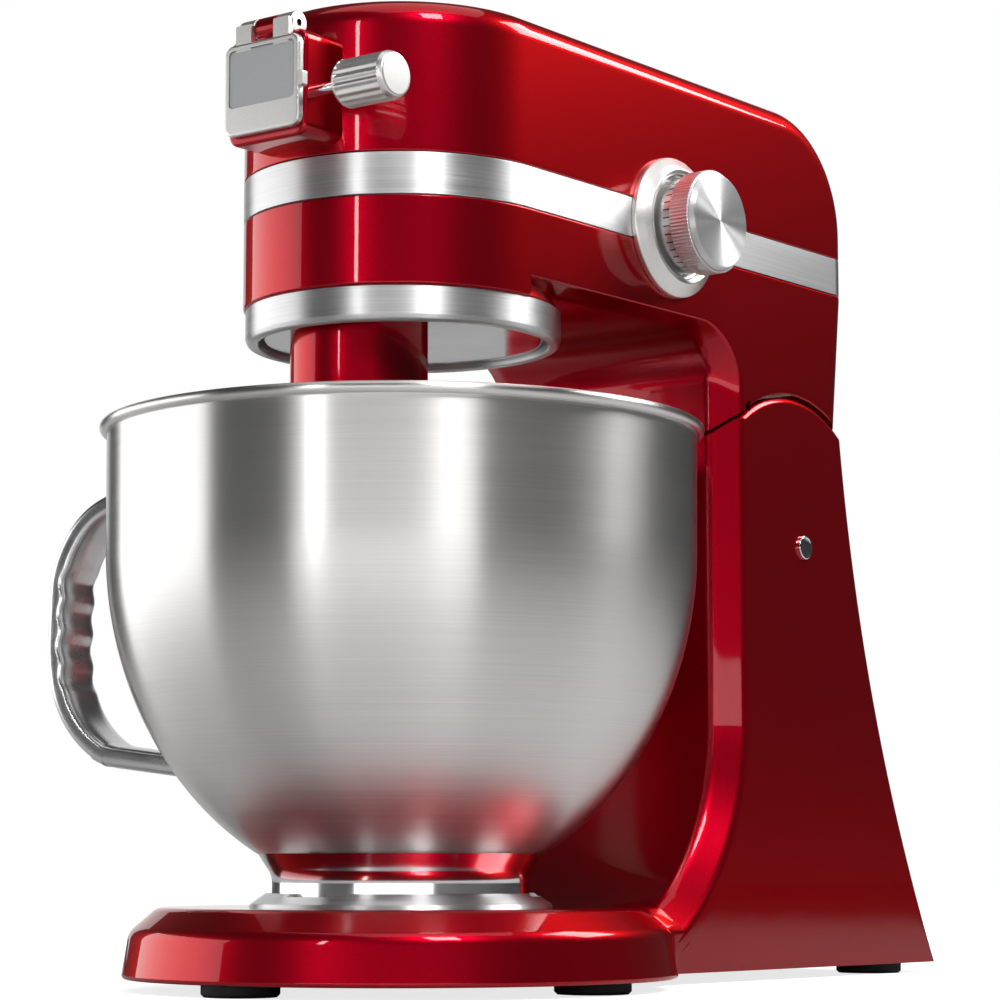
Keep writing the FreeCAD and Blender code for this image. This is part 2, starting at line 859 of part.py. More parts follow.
def make_handle():
    """The loop handle: a bar bent to a D, with finger waves inside the grip, set out from the bowl's wall."""
    thick, reach = v.handle_thick, v.handle_reach
    inner_reach = reach - thick
    top, low, bend = v.handle_top, v.handle_bottom, v.handle_bend
    inner_bend = bend - thick
    root = v.bowl_base
    dip = thick * 0.45

    def at(radius, height):
        return Vector(radius, 0, height)

    def corner(radius, height, size, up):
        """The middle of a bend whose corner point is at a radius and height."""
        offset = size * (1 - math.sqrt(0.5))
        return at(radius - offset, height - up * offset)

    grip_top, grip_low = top - bend, low + bend
    pitch = (grip_top - grip_low) / GRIP_WAVES
    waves = []
    for index in range(GRIP_WAVES):
        height = grip_low + index * pitch
        waves.append((at(inner_reach + dip / 3, height + pitch / 2), at(inner_reach, height + pitch)))
    wire = outline(
        at(root, low - dip),
        at(reach - bend, low),
        (corner(reach, low, bend, -1), at(reach, low + bend)),
        at(reach, top - bend),
        (corner(reach, top, bend, 1), at(reach - bend, top)),
        at(v.bowl_radius - v.bevel, top + dip),
        at(v.bowl_radius - v.bevel, top - thick + dip),
        at(inner_reach - inner_bend, top - thick),
        (corner(inner_reach, top - thick, inner_bend, 1), at(inner_reach, grip_top)),
        *[(middle, at(inner_reach, end.z - pitch)) for middle, end in reversed(waves)],
        (corner(inner_reach, low + thick, inner_bend, -1), at(inner_reach - inner_bend, low + thick)),
        at(root, low + thick - dip),
    )
    bar = prism(wire, Vector(0, v.handle_width, 0))
    bar.translate(Vector(0, -v.handle_width / 2, 0))
    side_faces = [face for face in bar.Faces if abs(face.normalAt(0, 0).y) > 0.99]
    rims = [edge for face in side_faces for edge in face.Edges if edge.BoundBox.XMax > v.bowl_radius]
    bar = bar.makeFillet(v.handle_round, rims)
    bar.rotate(Vector(), Z_AXIS, -90 - v.handle_turn)
    gap = v.plate_gap / 3
    shoulder = Vector(0, 0, v.bowl_shoulder)
    lowest = shoulder - Vector(0, 0, v.bowl_drop + gap)
    side = shoulder + Vector(v.bowl_radius + gap, 0, 0)
    ellipse = Part.Ellipse(lowest, side, shoulder)
    ends = [ellipse.parameter(point) for point in (lowest, side)]
    edges = [
        Part.ArcOfEllipse(ellipse, min(ends), max(ends)).toShape(),
        Part.LineSegment(side, Vector(v.bowl_radius + gap, 0, v.bowl_rim)).toShape(),
        Part.LineSegment(Vector(v.bowl_radius + gap, 0, v.bowl_rim), Vector(0, 0, v.bowl_rim)).toShape(),
        Part.LineSegment(Vector(0, 0, v.bowl_rim), lowest).toShape(),
    ]
    body = Part.Face(Part.Wire(Part.__sortEdges__(edges))).revolve(Vector(), Z_AXIS, 360)
    node("bowl_handle", cut("bowl_handle", made("handle_bar", bar), made("bowl_block", body)))


def head_outline(x, bevel, spare=0.0):
    """The head from the side at one X, from its middle back: flat top, round crown and a neck over the hump.

    The spare widens it everywhere but along the underside and the neck."""
    under = v.under_height - (v.lip_drop if bevel else 0)
    neck = v.sweep_y + v.sweep_radius - bevel
    corner = v.neck_corner - bevel
    centre = Vector(x, neck - corner, under - corner)
    slant = corner * math.sqrt(0.5)
    hollow = v.hump_radius + v.seam_gap - spare
    tail, rear, top = v.tail_top_y + spare, v.head_rear + spare, v.head_top + spare
    crown = v.crown_radius
    crown_centre = Vector(x, rear - crown, top - crown)
    crown_slant = crown * math.sqrt(0.5)

    def on_seam(y):
        return Vector(x, y, v.hinge_height + math.sqrt(hollow**2 - (y - v.hinge_y) ** 2))

    return outline(
        Vector(x, 0, under),
        Vector(x, neck - corner, under),
        (centre + Vector(0, slant, slant), Vector(x, neck, under - corner)),
        on_seam(neck),
        (Vector(x, v.hinge_y, v.hinge_height + hollow), on_seam(tail)),
        Vector(x, rear, v.band_low),
        Vector(x, rear, top - crown),
        (crown_centre + Vector(0, crown_slant, crown_slant), Vector(x, rear - crown, top)),
        Vector(x, 0, top),
    )


def plan_outline(half_width, rear, corner, height):
    """The head in plan: a round nose, straight sides and a square back with rounded corners."""
    bend = corner * (1 - math.sqrt(0.5))
    slant = half_width * math.sqrt(0.5)
    return outline(
        Vector(-half_width, 0, height),
        (Vector(-slant, -slant, height), Vector(0, -half_width, height)),
        (Vector(slant, -slant, height), Vector(half_width, 0, height)),
        Vector(half_width, rear - corner, height),
        (Vector(half_width - bend, rear - bend, height), Vector(half_width - corner, rear, height)),
        Vector(corner - half_width, rear, height),
        (Vector(bend - half_width, rear - bend, height), Vector(-half_width, rear - corner, height)),
    )


def make_head_shells():
    """The lower casting and the top cover, parted behind the trim band, with the band and the nose ring."""
    width = Vector(2 * v.half_width, 0, 0)
    slab = prism(head_outline(-v.half_width, v.bevel), width)
    nose = Part.makeCylinder(v.half_width, v.head_top - v.under_height, Vector(0, 0, v.under_height))
    slab = slab.fuse(nose).removeSplitter()
    rims = []
    for edge in slab.Edges:
        span = edge.BoundBox
        flank = span.XLength < 0.01 and abs(span.XMin) > v.half_width - 0.01
        on_top = span.ZMin > v.head_top - 0.01
        on_back = span.YMax > v.head_rear - 0.1
        if (flank and (on_top or on_back)) or (on_top and span.YMin < -v.half_width / 2):
            rims.append(edge)
    slab = slab.makeFillet(v.edge_round, rims)
    spare = v.bevel
    envelope = across(v.half_width, v.bevel, lambda x, bevel: head_outline(x, bevel, spare))
    corner = Vector(-v.half_width, -v.half_width - spare, spare)
    ahead = Part.makeBox(2 * v.half_width, v.half_width + spare, v.head_top, corner)
    corner = Vector(-v.half_width, -v.half_width, v.nose_low)
    front = Part.makeBox(2 * v.half_width, v.half_width, v.nose_drop, corner)
    chin = Part.makeCylinder(v.half_width, v.nose_drop, Vector(0, 0, v.nose_low))
    chin = chin.common(front)
    collar = Part.makeCone(v.collar_low, v.collar_high, v.bevel, Vector(0, 0, v.nose_low))
    whole = slab.common(envelope.fuse(ahead)).fuse([chin, collar]).removeSplitter()
    outside = made("head_outside", whole)

    floor = v.under_height + v.wall
    inner = v.half_width - v.wall
    hollow_top = v.head_top - v.wall
    neck_front = v.sweep_y + v.sweep_radius + v.wall
    neck_floor = v.hinge_height + v.hump_radius + v.seam_gap + v.wall
    rear = v.head_rear - v.wall
    crown = v.crown_radius - v.wall
    crown_slant = crown * math.sqrt(0.5)
    side = outline(
        Vector(-inner, 0, floor),
        Vector(-inner, neck_front, floor),
        Vector(-inner, neck_front, neck_floor),
        Vector(-inner, v.tail_top_y - v.wall, neck_floor),
        Vector(-inner, rear, v.band_low),
        Vector(-inner, rear, hollow_top - crown),
        (
            Vector(-inner, rear - crown + crown_slant, hollow_top - crown + crown_slant),
            Vector(-inner, rear - crown, hollow_top),
        ),
        Vector(-inner, 0, hollow_top),
    )
    cavity = prism(side, Vector(2 * inner, 0, 0)).fuse(
        Part.makeCylinder(inner, hollow_top - v.under_height, Vector(0, 0, v.under_height))
    )
    ledge_depth = v.bevel
    for sign in (-1, 1):
        low_x = -inner if sign < 0 else inner - ledge_depth
        corner = Vector(low_x, neck_front - v.wall, floor - ledge_depth)
        ledge = Part.makeBox(ledge_depth, v.tail_top_y - neck_front, ledge_depth, corner)
        cavity = cavity.cut(ledge)
    hollow = made("head_hollow", cavity)

    part_line = (s.band_low + s.band_high) / 2
    far = s.tail_foot_y
    wide = s.half_width + s.wall
    low_half = box("low_half", (-wide, -wide, 0), (wide, far, part_line))
    high_half = box("high_half", (-wide, -wide, part_line), (wide, far, s.head_top + 1))
    gap = v.band_gap
    groove_height = v.band_high - v.band_low + 2 * gap
    over = v.half_width + v.wall
    around = plan_outline(over, v.head_rear + v.wall, v.edge_round, v.band_low - gap)
    groove = prism(around, Z_AXIS * groove_height).cut(
        prism(
            plan_outline(
                v.half_width - v.band_depth - v.run_fit,
                v.head_rear - v.band_depth - v.run_fit,
                v.edge_round - v.band_depth,
                v.band_low - gap,
            ),
            Z_AXIS * groove_height,
        )
    )
    groove_cut = made("band_groove", groove)
    dial_height = part_line
    dial_hole = rod(
        "dial_hole",
        s.dial_shaft * 2 + s.seat_fit,
        (s.half_width - s.wall * 2, s.dial_y, dial_height),
        s.wall * 3,
        "X",
    )
    hub_hole = rod(
        "hub_hole", s.hub_bush + s.seat_fit, (0, -s.half_width - s.wall, s.hub_axis), s.wall * 4, "Y"
    )
    gear_bore = rod(
        "gear_bore", s.gear_ring_radius + s.seat_fit, (0, 0, s.nose_low - 1), s.under_height - s.nose_low + 2
    )
    middle = s.cheek_inner + s.cheek_thick / 2
    slot_half = s.cheek_thick / 2 + s.free_gap
    slot_back = s.hinge_y - s.hump_radius * 0.2
    cheek_slots = [
        box(
            f"neck_slot_{index}",
            (
                sign * middle - slot_half,
                s.hinge_y - s.hump_radius * 0.545,
                s.hinge_height + s.hump_radius * 0.7,
            ),
            (sign * middle + slot_half, slot_back, s.under_height),
        )
        for index, sign in enumerate((-1, 1))
    ]
    node(
        "head_casting",
        cut(
            "head_casting",
            common("casting_half", outside, low_half),
            hollow,
            groove_cut,
            dial_hole,
            gear_bore,
            *cheek_slots,
        ),
    )
    node(
        "head_cover",
        cut(
            "head_cover", common("cover_half", outside, high_half), hollow, groove_cut, dial_hole, hub_hole
        ),
    )
    band_height = Z_AXIS * (v.band_high - v.band_low)
    band = prism(plan_outline(v.half_width, v.head_rear, v.edge_round, v.band_low), band_height).cut(
        prism(
            plan_outline(
                v.half_width - v.band_depth,
                v.head_rear - v.band_depth,
                v.edge_round - v.band_depth,
                v.band_low,
            ),
            band_height,
        )
    )
    node("trim_band", cut("trim_band", made("band_loop", band), dial_hole))
    edge = s.bowl_bead
    node(
        "nose_ring",
        turned(
            "nose_ring",
            (
                (s.ring_bore, s.ring_low + edge / 2),
                (s.ring_bore + edge / 2, s.ring_low),
                (s.ring_radius - edge, s.ring_low),
                (s.ring_radius - edge * 0.3, s.ring_low + edge * 0.3),
                (s.ring_radius, s.ring_low + edge),
                (s.ring_radius, s.nose_low),
                (s.ring_bore, s.nose_low),
            ),
        ),
    )


def make_hinge():
    """The yoke and pin in the column, and the bracket that hangs from the head on bushes round the pin."""
    centre_y, centre_z = s.hinge_y, s.hinge_height
    ear_outer = s.cheek_inner - s.free_gap * 3
    half_depth = s.hump_radius / 3
    plate = box(
        "yoke_plate",
        (-s.half_width + s.wall + s.plate_gap, centre_y - half_depth, s.yoke_height - s.yoke_thick),
        (s.half_width - s.wall - s.plate_gap, centre_y + half_depth, s.yoke_height),
    )
    ears = []
    for index, start in enumerate((-ear_outer, ear_outer - s.ear_thick)):
        ears.append(
            box(
                f"ear_post_{index}",
                (start, centre_y - s.pin_radius * 2, s.yoke_height - 1),
                (start + s.ear_thick, centre_y + s.pin_radius * 2, centre_z),
            )
        )
        ears.append(
            rod(f"ear_eye_{index}", s.pin_radius * 2, (start, centre_y, centre_z), s.ear_thick, "X")
        )
    pin_half = s.cheek_inner + s.cheek_thick + s.free_gap * 4
    pin_hole = rod(
        "yoke_hole", s.pin_radius + s.seat_fit, (-pin_half, centre_y, centre_z), pin_half * 2, "X"
    )
    node("pivot_yoke", cut("pivot_yoke", fuse("yoke_blank", plate, *ears), pin_hole))
    node("hinge_pin", rod("hinge_pin", s.pin_radius, (-pin_half, centre_y, centre_z), pin_half * 2, "X"))

    bush_outer = s.pin_radius + s.run_fit + s.bush_wall
    floor = s.under_height + s.wall
    front = s.hinge_y - s.hump_radius * 0.525
    back = s.hinge_y - s.hump_radius * 0.235
    arm = (
        (centre_y - s.pin_radius * 2.2, centre_z - s.pin_radius),
        (centre_y + s.pin_radius * 2, centre_z + s.pin_radius),
        (back, centre_z + s.hump_radius),
        (back + s.wall, floor + 1),
        (front + s.wall / 2, floor + 1),
        (front + s.wall / 2, centre_z + s.hump_radius),
        (front, centre_z + s.hump_radius * 0.85),
    )
    arms = []
    for index, start in enumerate((-s.cheek_inner - s.cheek_thick, s.cheek_inner)):
        arms.append(padded(f"cheek_arm_{index}", "YZ_Plane", arm, (start, 0, 0), s.cheek_thick))
        arms.append(
            rod(f"cheek_eye_{index}", s.pin_radius * 2.2, (start, centre_y, centre_z), s.cheek_thick, "X")
        )
    wide = s.half_width - s.wall - s.bevel / 2
    top = box(
        "bracket_top",
        (-wide, s.sweep_y + s.sweep_radius - s.bevel * 2, floor),
        (wide, s.tail_top_y - s.wall - s.free_gap, floor + s.deck_plate),
    )
    eye = rod("bracket_eye", bush_outer + s.seat_fit, (-pin_half, centre_y, centre_z), pin_half * 2, "X")
    node("hinge_bracket", cut("hinge_bracket", fuse("bracket_blank", top, *arms), eye))
    bushes = [
        tube(
            f"hinge_bush_{index}",
            bush_outer,
            s.pin_radius + s.run_fit,
            (start, centre_y, centre_z),
            s.cheek_thick,
            "X",
        )
        for index, start in enumerate((-s.cheek_inner - s.cheek_thick, s.cheek_inner))
    ]
    group("hinge_bushes", *bushes)


def helix_wire(start_x, end_x, radius, turns, centre):
    """A coil about an X axis drawn as pairs of arcs that meet smoothly every quarter turn."""
    steps = turns * 4
    rise = (end_x - start_x) / steps

    def at(step):
        turn = step * math.pi / 2
        return Vector(
            start_x + step * rise, centre.y + radius * math.cos(turn), centre.z + radius * math.sin(turn)
        )

    def along(step):
        turn = step * math.pi / 2
        speed = radius * math.pi / 2
        return Vector(rise, -speed * math.sin(turn), speed * math.cos(turn)).normalize()

    def arc(begin, end, tangent):
        chord = end - begin
        ahead = Vector(chord).normalize()
        side = tangent - ahead * tangent.dot(ahead)
        bow = chord.Length / 2 * math.tan(tangent.getAngle(ahead) / 2)
        return Part.Arc(begin, (begin + end) * 0.5 + side.normalize() * bow, end).toShape()

    edges = []
    for step in range(steps):
        begin, end, out, back = at(step), at(step + 1), along(step), along(step + 1)
        chord, lean = end - begin, out + back
        spread = 2 * (1 - out.dot(back))
        reach = (math.sqrt(chord.dot(lean) ** 2 + spread * chord.dot(chord)) - chord.dot(lean)) / spread
        meet = (begin + out * reach + end - back * reach) * 0.5
        edges.append(arc(begin, meet, out))
        edges.append(arc(meet, end, (end - back * reach - meet).normalize()))
    return Part.Wire(edges)


def make_release():
    """The head's release button with its stem, latch bar and return spring, and the guide they slide in."""
    y, z = s.button_y, s.button_height
    inner = s.half_width - s.wall
    guide_x = s.latch_x + s.latch_thick + s.free_gap * 2
    head_back = inner - s.free_gap
    button = fuse(
        "release_button",
        rod(
            "button_head",
            s.button_radius,
            (head_back, y, z),
            s.half_width + s.button_proud - head_back,
            "X",
        ),
        rod("button_stem_rod", s.button_stem, (s.latch_x, y, z), head_back - s.latch_x + 1, "X"),
    )
    node("release_button", button)
    span = s.button_radius * 1.2
    bar = box(
        "latch_blank",
        (s.latch_x, y - span, z - span),
        (s.latch_x + s.latch_thick, y + span, s.hinge_height + s.hump_radius * 0.6),
    )
    hook = box(
        "latch_hook",
        (s.latch_x - s.latch_thick, y - span, s.hinge_height + s.hump_radius * 0.52),
        (s.latch_x + 1, y + span, s.hinge_height + s.hump_radius * 0.6),
    )
    stem_hole = rod("latch_hole", s.button_stem + s.seat_fit, (s.latch_x - 1, y, z), s.latch_thick + 2, "X")
    node("latch_bar", cut("latch_bar", fuse("latch_body", bar, hook), stem_hole))
    reach = s.button_radius * 2
    frame = box("guide_block", (guide_x, y - reach, z - reach), (inner, y + reach, z + reach))
    room = box(
        "guide_room",
        (guide_x + s.guide_thick, y - reach - 1, z - reach + s.guide_thick),
        (inner + 1, y + reach + 1, z + reach - s.guide_thick),
    )
    guide_hole = rod("guide_hole", s.button_stem + s.run_fit, (guide_x - 1, y, z), s.guide_thick + 2, "X")
    node("latch_guide", cut("latch_guide", frame, room, guide_hole))
    wire_radius = v.spring_wire / 2
    clearance = v.run_fit + wire_radius
    start = guide_x.value + v.guide_thick + clearance
    end = head_back.value - clearance
    path = helix_wire(start, end, v.spring_radius, SPRING_TURNS, Vector(0, y.value, z.value))
    ring = Part.Circle(
        path.Vertexes[0].Point, path.Edges[0].tangentAt(path.Edges[0].FirstParameter), wire_radius
    )
    coil = Part.BRepOffsetAPI.MakePipeShell(path)
    coil.add(Part.Wire(ring.toShape()))
    coil.build()
    coil.makeSolid()
    node("button_spring", made("button_spring", coil.shape()))
    gap = (end - start) / SPRING_TURNS - v.spring_wire
    print(f"button spring: least gap between turns {gap:.2f} mm")


def tooth_half_angle(radius, teeth, module, slack):
    """Half the angle that an involute tooth takes up at a radius."""
    pitch = teeth * module / 2
    base = pitch * math.cos(PRESSURE_ANGLE)

    def involute(at_radius):
        angle = math.acos(min(1.0, base / at_radius))
        return math.tan(angle) - angle

    return math.pi / (2 * teeth) - slack / (2 * pitch) + involute(pitch) - involute(radius)


def toothed_points(teeth, flank, turn):
    """Corners of a toothed outline: flank lists (radius, half angle) from each tooth's root to its tip."""
    points = []
    for index in range(teeth):
        middle = math.radians(turn) + 2 * math.pi * index / teeth
        rising = [(radius, middle - half) for radius, half in flank]
        falling = [(radius, middle + half) for radius, half in reversed(flank)]
        points += [Vector(r * math.cos(a), r * math.sin(a), 0) for r, a in rising + falling]
    return points


def closed(points):
    """A closed wire of straight sides."""
    return Part.makePolygon(points + points[:1])


def spur_wire(teeth, module, slack, turn, inside, outside):
    """The outline of a spur gear between two radii."""
    pitch = teeth * module / 2
    radii = (inside, pitch, outside)
    return closed(
        toothed_points(teeth, [(r, tooth_half_angle(r, teeth, module, slack)) for r in radii], turn)
    )


def spur_gear(name, teeth, module, turn, centre_y, low, thick, bore):
    """A spur gear with a round bore, its teeth a little thinner than their spaces."""
    pitch = teeth * module / 2
    wire = spur_wire(teeth, module, module * 0.14, turn, pitch - 1.25 * module, pitch + 0.95 * module)
    wheel = prism(wire, Z_AXIS * thick.value)
    wheel.translate(Vector(0, centre_y.value, low.value))
    blank = made(f"{name}_teeth", wheel)
    return node(name, cut(name, blank, rod(f"{name}_bore", bore, (0, centre_y, low - 1), thick + 2)))


def bevel_wheel(turn):
    """A mitre gear whose teeth run towards the point where its axis meets its mate's, at the origin."""
    reach = v.bevel_reach
    module = 2 * reach / BEVEL_TEETH
    step = math.pi / (2 * BEVEL_TEETH)
    flank = [(reach - 1.3 * module, 1.15 * step), (reach, 0.78 * step), (reach + 1.0 * module, 0.42 * step)]
    points = toothed_points(BEVEL_TEETH, flank, turn)
    shrink = (reach - v.bevel_face) / reach
    rings = [[Vector(p.x * k, p.y * k, -reach * k) for p in points] for k in (1.0, shrink)]
    teeth = Part.makeLoft([closed(ring) for ring in rings], True, True)
    backing = Part.makeCylinder(reach - 1.3 * module, v.deck_plate, Vector(0, 0, -reach - v.deck_plate))
    return teeth.fuse(backing)


def make_planetary():
    """The carrier with its boss, the geared tool shaft in it, and the main shaft with its two gears."""
    low = s.carrier_low
    disc_top = low + s.carrier_thick
    chamfer = s.bowl_bead / 2
    disc = turned(
        "carrier_disc",
        (
            (0, low),
            (s.carrier_radius - chamfer, low),
            (s.carrier_radius, low + chamfer),
            (s.carrier_radius, disc_top),
            (0, disc_top),
        ),
    )
    boss = fuse(
        "carrier_boss",
        rod(
            "boss_post", s.boss_radius, (0, -s.throw, s.boss_low + chamfer), low - s.boss_low - chamfer + 1
        ),
        cone("boss_edge", s.boss_radius - chamfer, s.boss_radius, (0, -s.throw, s.boss_low), chamfer),
    )
    bush_radius = s.tool_radius + s.run_fit + s.bush_wall
    tool_bore = rod(
        "tool_bore", bush_radius + s.seat_fit, (0, -s.throw, s.boss_low - 1), disc_top - s.boss_low + 2
    )
    shaft_bore = rod("carrier_bore", s.shaft_radius + s.seat_fit, (0, 0, low - 1), s.carrier_thick + 2)
    node("planet_carrier", cut("planet_carrier", fuse("carrier_blank", disc, boss), tool_bore, shaft_bore))
    half_length = (disc_top - s.boss_low) / 2 - s.free_gap
    bushes = [
        tube(
            f"tool_bush_{index}", bush_radius, s.tool_radius + s.run_fit, (0, -s.throw, start), half_length
        )
        for index, start in enumerate((s.boss_low, disc_top - half_length))
    ]
    group("tool_bushes", *bushes)

    bevel_back = s.hub_axis - s.bevel_reach - s.deck_plate
    node("main_shaft", rod("main_shaft", s.shaft_radius, (0, 0, low), bevel_back + s.deck_plate - low))
    module = 2 * v.lay_y / (MAIN_TEETH + LAY_TEETH)
    spur_gear(
        "main_gear",
        MAIN_TEETH,
        module,
        90,
        as_size(0),
        s.main_gear_low,
        s.main_gear_thick,
        s.shaft_radius + s.seat_fit,
    )
    wheel = bevel_wheel(-90)
    wheel.translate(Vector(0, 0, v.hub_axis))
    bore = rod(
        "bevel_bore", s.shaft_radius + s.seat_fit, (0, 0, bevel_back - 1), s.deck_plate + s.bevel_face + 2
    )
    node("main_bevel", cut("main_bevel", made("main_bevel_teeth", wheel), bore))

    ring_module = 2 * v.throw / (RING_TEETH - PLANET_TEETH)
    pitch = RING_TEETH * ring_module / 2
    spaces = spur_wire(
        RING_TEETH,
        ring_module,
        -0.14 * ring_module,
        -90,
        pitch - 0.8 * ring_module,
        pitch + 1.25 * ring_module,
    )
    opening = prism(spaces, Z_AXIS * v.wall * 6)
    opening.translate(Z_AXIS * (v.nose_low - v.wall))
    floor = s.under_height + s.wall
    blank = fuse(
        "gear_ring_blank",
        rod("gear_ring_body", s.gear_ring_radius, (0, 0, s.nose_low), floor - s.nose_low),
        rod("gear_ring_flange", s.gear_flange, (0, 0, s.under_height), floor - s.under_height),
    )
    node("ring_gear", cut("ring_gear", blank, made("gear_ring_spaces", opening)))

    gear_low = s.nose_low + s.free_gap
    gear_thick = s.under_height - s.nose_low - s.free_gap
    planet_bore = s.tool_radius + s.seat_fit
    spur_gear("planet_pinion", PLANET_TEETH, ring_module, -90, -s.throw, gear_low, gear_thick, planet_bore)
    # below the cross pin an undercut sets off the spigot that a tool's collar slides on
    seat = s.spigot_top + s.spigot_gap
    shaft = fuse(
        "tool_blank",
        rod("tool_rod", s.tool_radius, (0, -s.throw, seat), s.under_height - seat),
        rod("tool_neck", s.spigot_neck, (0, -s.throw, s.spigot_top - 1), s.spigot_gap + 2),
        rod("tool_spigot", s.spigot_radius, (0, -s.throw, s.tool_low), s.spigot_top - s.tool_low),
    )
    pin_start = (-s.tool_pin_reach, -s.throw, s.tool_pin_height)
    pin_hole = rod("tool_pin_hole", s.tool_pin_radius + s.seat_fit, pin_start, s.tool_pin_reach * 2, "X")
    node("tool_shaft", cut("tool_shaft", shaft, pin_hole))
    node("tool_pin", rod("tool_pin", s.tool_pin_radius, pin_start, s.tool_pin_reach * 2, "X"))


def make_gearbox():
    """The plate and bridge that carry the main shaft and countershaft, the bearings and the countershaft."""
    floor = s.under_height + s.wall
    plate_top = floor + s.deck_plate
    edge = s.half_width - s.wall - s.free_gap
    seat_height = s.bearing_length - s.deck_plate
    spots = (
        ("main", as_size(0), s.bearing_radius, s.shaft_radius),
        ("lay", s.lay_y, s.lay_bearing, s.lay_radius),
    )
    bridge_low = s.bridge_height
    bridge_top = bridge_low + s.deck_plate
    half_bridge = s.half_width - s.wall - s.bevel / 2
    post_x = half_bridge - s.wall
    post_y = s.lay_y / 2

    plate_parts = [
        rod("gear_plate_round", edge, (0, 0, floor), s.deck_plate),
        box("gear_plate_back", (-edge, 0, floor), (edge, s.lay_y + s.lay_bearing * 3, plate_top)),
    ]
    bridge_parts = [
        box(
            "bridge_bar",
            (-half_bridge, -s.lay_radius * 3, bridge_low),
            (half_bridge, s.dial_y - s.bearing_radius, bridge_top),
        ),
    ]
    for index, sign in enumerate((-1, 1)):
        bridge_parts.append(
            rod(
                f"bridge_post_{index}",
                s.wall,
                (sign * post_x, post_y, plate_top),
                bridge_low - plate_top + 1,
            )
        )
    plate_holes, bridge_holes = [], []
    for name, centre, outer, shaft in spots:
        seat = outer + s.wall
        plate_parts.append(rod(f"{name}_plate_seat", seat, (0, centre, plate_top - 1), seat_height + 1))
        bridge_parts.append(rod(f"{name}_bridge_seat", seat, (0, centre, bridge_low - 1), s.deck_plate + 1))
        hole = outer + s.seat_fit
        plate_holes.append(rod(f"{name}_plate_hole", hole, (0, centre, floor - 1), s.bearing_length + 2))
        bridge_holes.append(rod(f"{name}_bridge_hole", hole, (0, centre, bridge_low - 2), s.deck_plate + 4))
        group(
            f"{name}_bearings",
            tube(f"{name}_bearing_low", outer, shaft + s.run_fit, (0, centre, floor), s.bearing_length),
            tube(
                f"{name}_bearing_high",
                outer,
                shaft + s.run_fit,
                (0, centre, bridge_low - 1),
                s.deck_plate + 1,
            ),
        )
    node("gearbox_plate", cut("gearbox_plate", fuse("gear_plate_blank", *plate_parts), *plate_holes))
    node("gearbox_bridge", cut("gearbox_bridge", fuse("bridge_blank", *bridge_parts), *bridge_holes))

    shaft_top = s.pulley_height + s.pulley_thick
    node("lay_shaft", rod("lay_shaft", s.lay_radius, (0, s.lay_y, floor), shaft_top - floor))
    module = 2 * v.lay_y / (MAIN_TEETH + LAY_TEETH)
    half_pitch = 180 / LAY_TEETH
    spur_gear(
        "lay_pinion",
        LAY_TEETH,
        module,
        -90 + half_pitch,
        s.lay_y,
        s.main_gear_low,
        s.main_gear_thick,
        s.lay_radius + s.seat_fit,
    )
    node(
        "lay_pulley",
        tube(
            "lay_pulley",
            s.pulley_large,
            s.lay_radius + s.seat_fit,
            (0, s.lay_y, s.pulley_height),
            s.pulley_thick,
        ),
    )


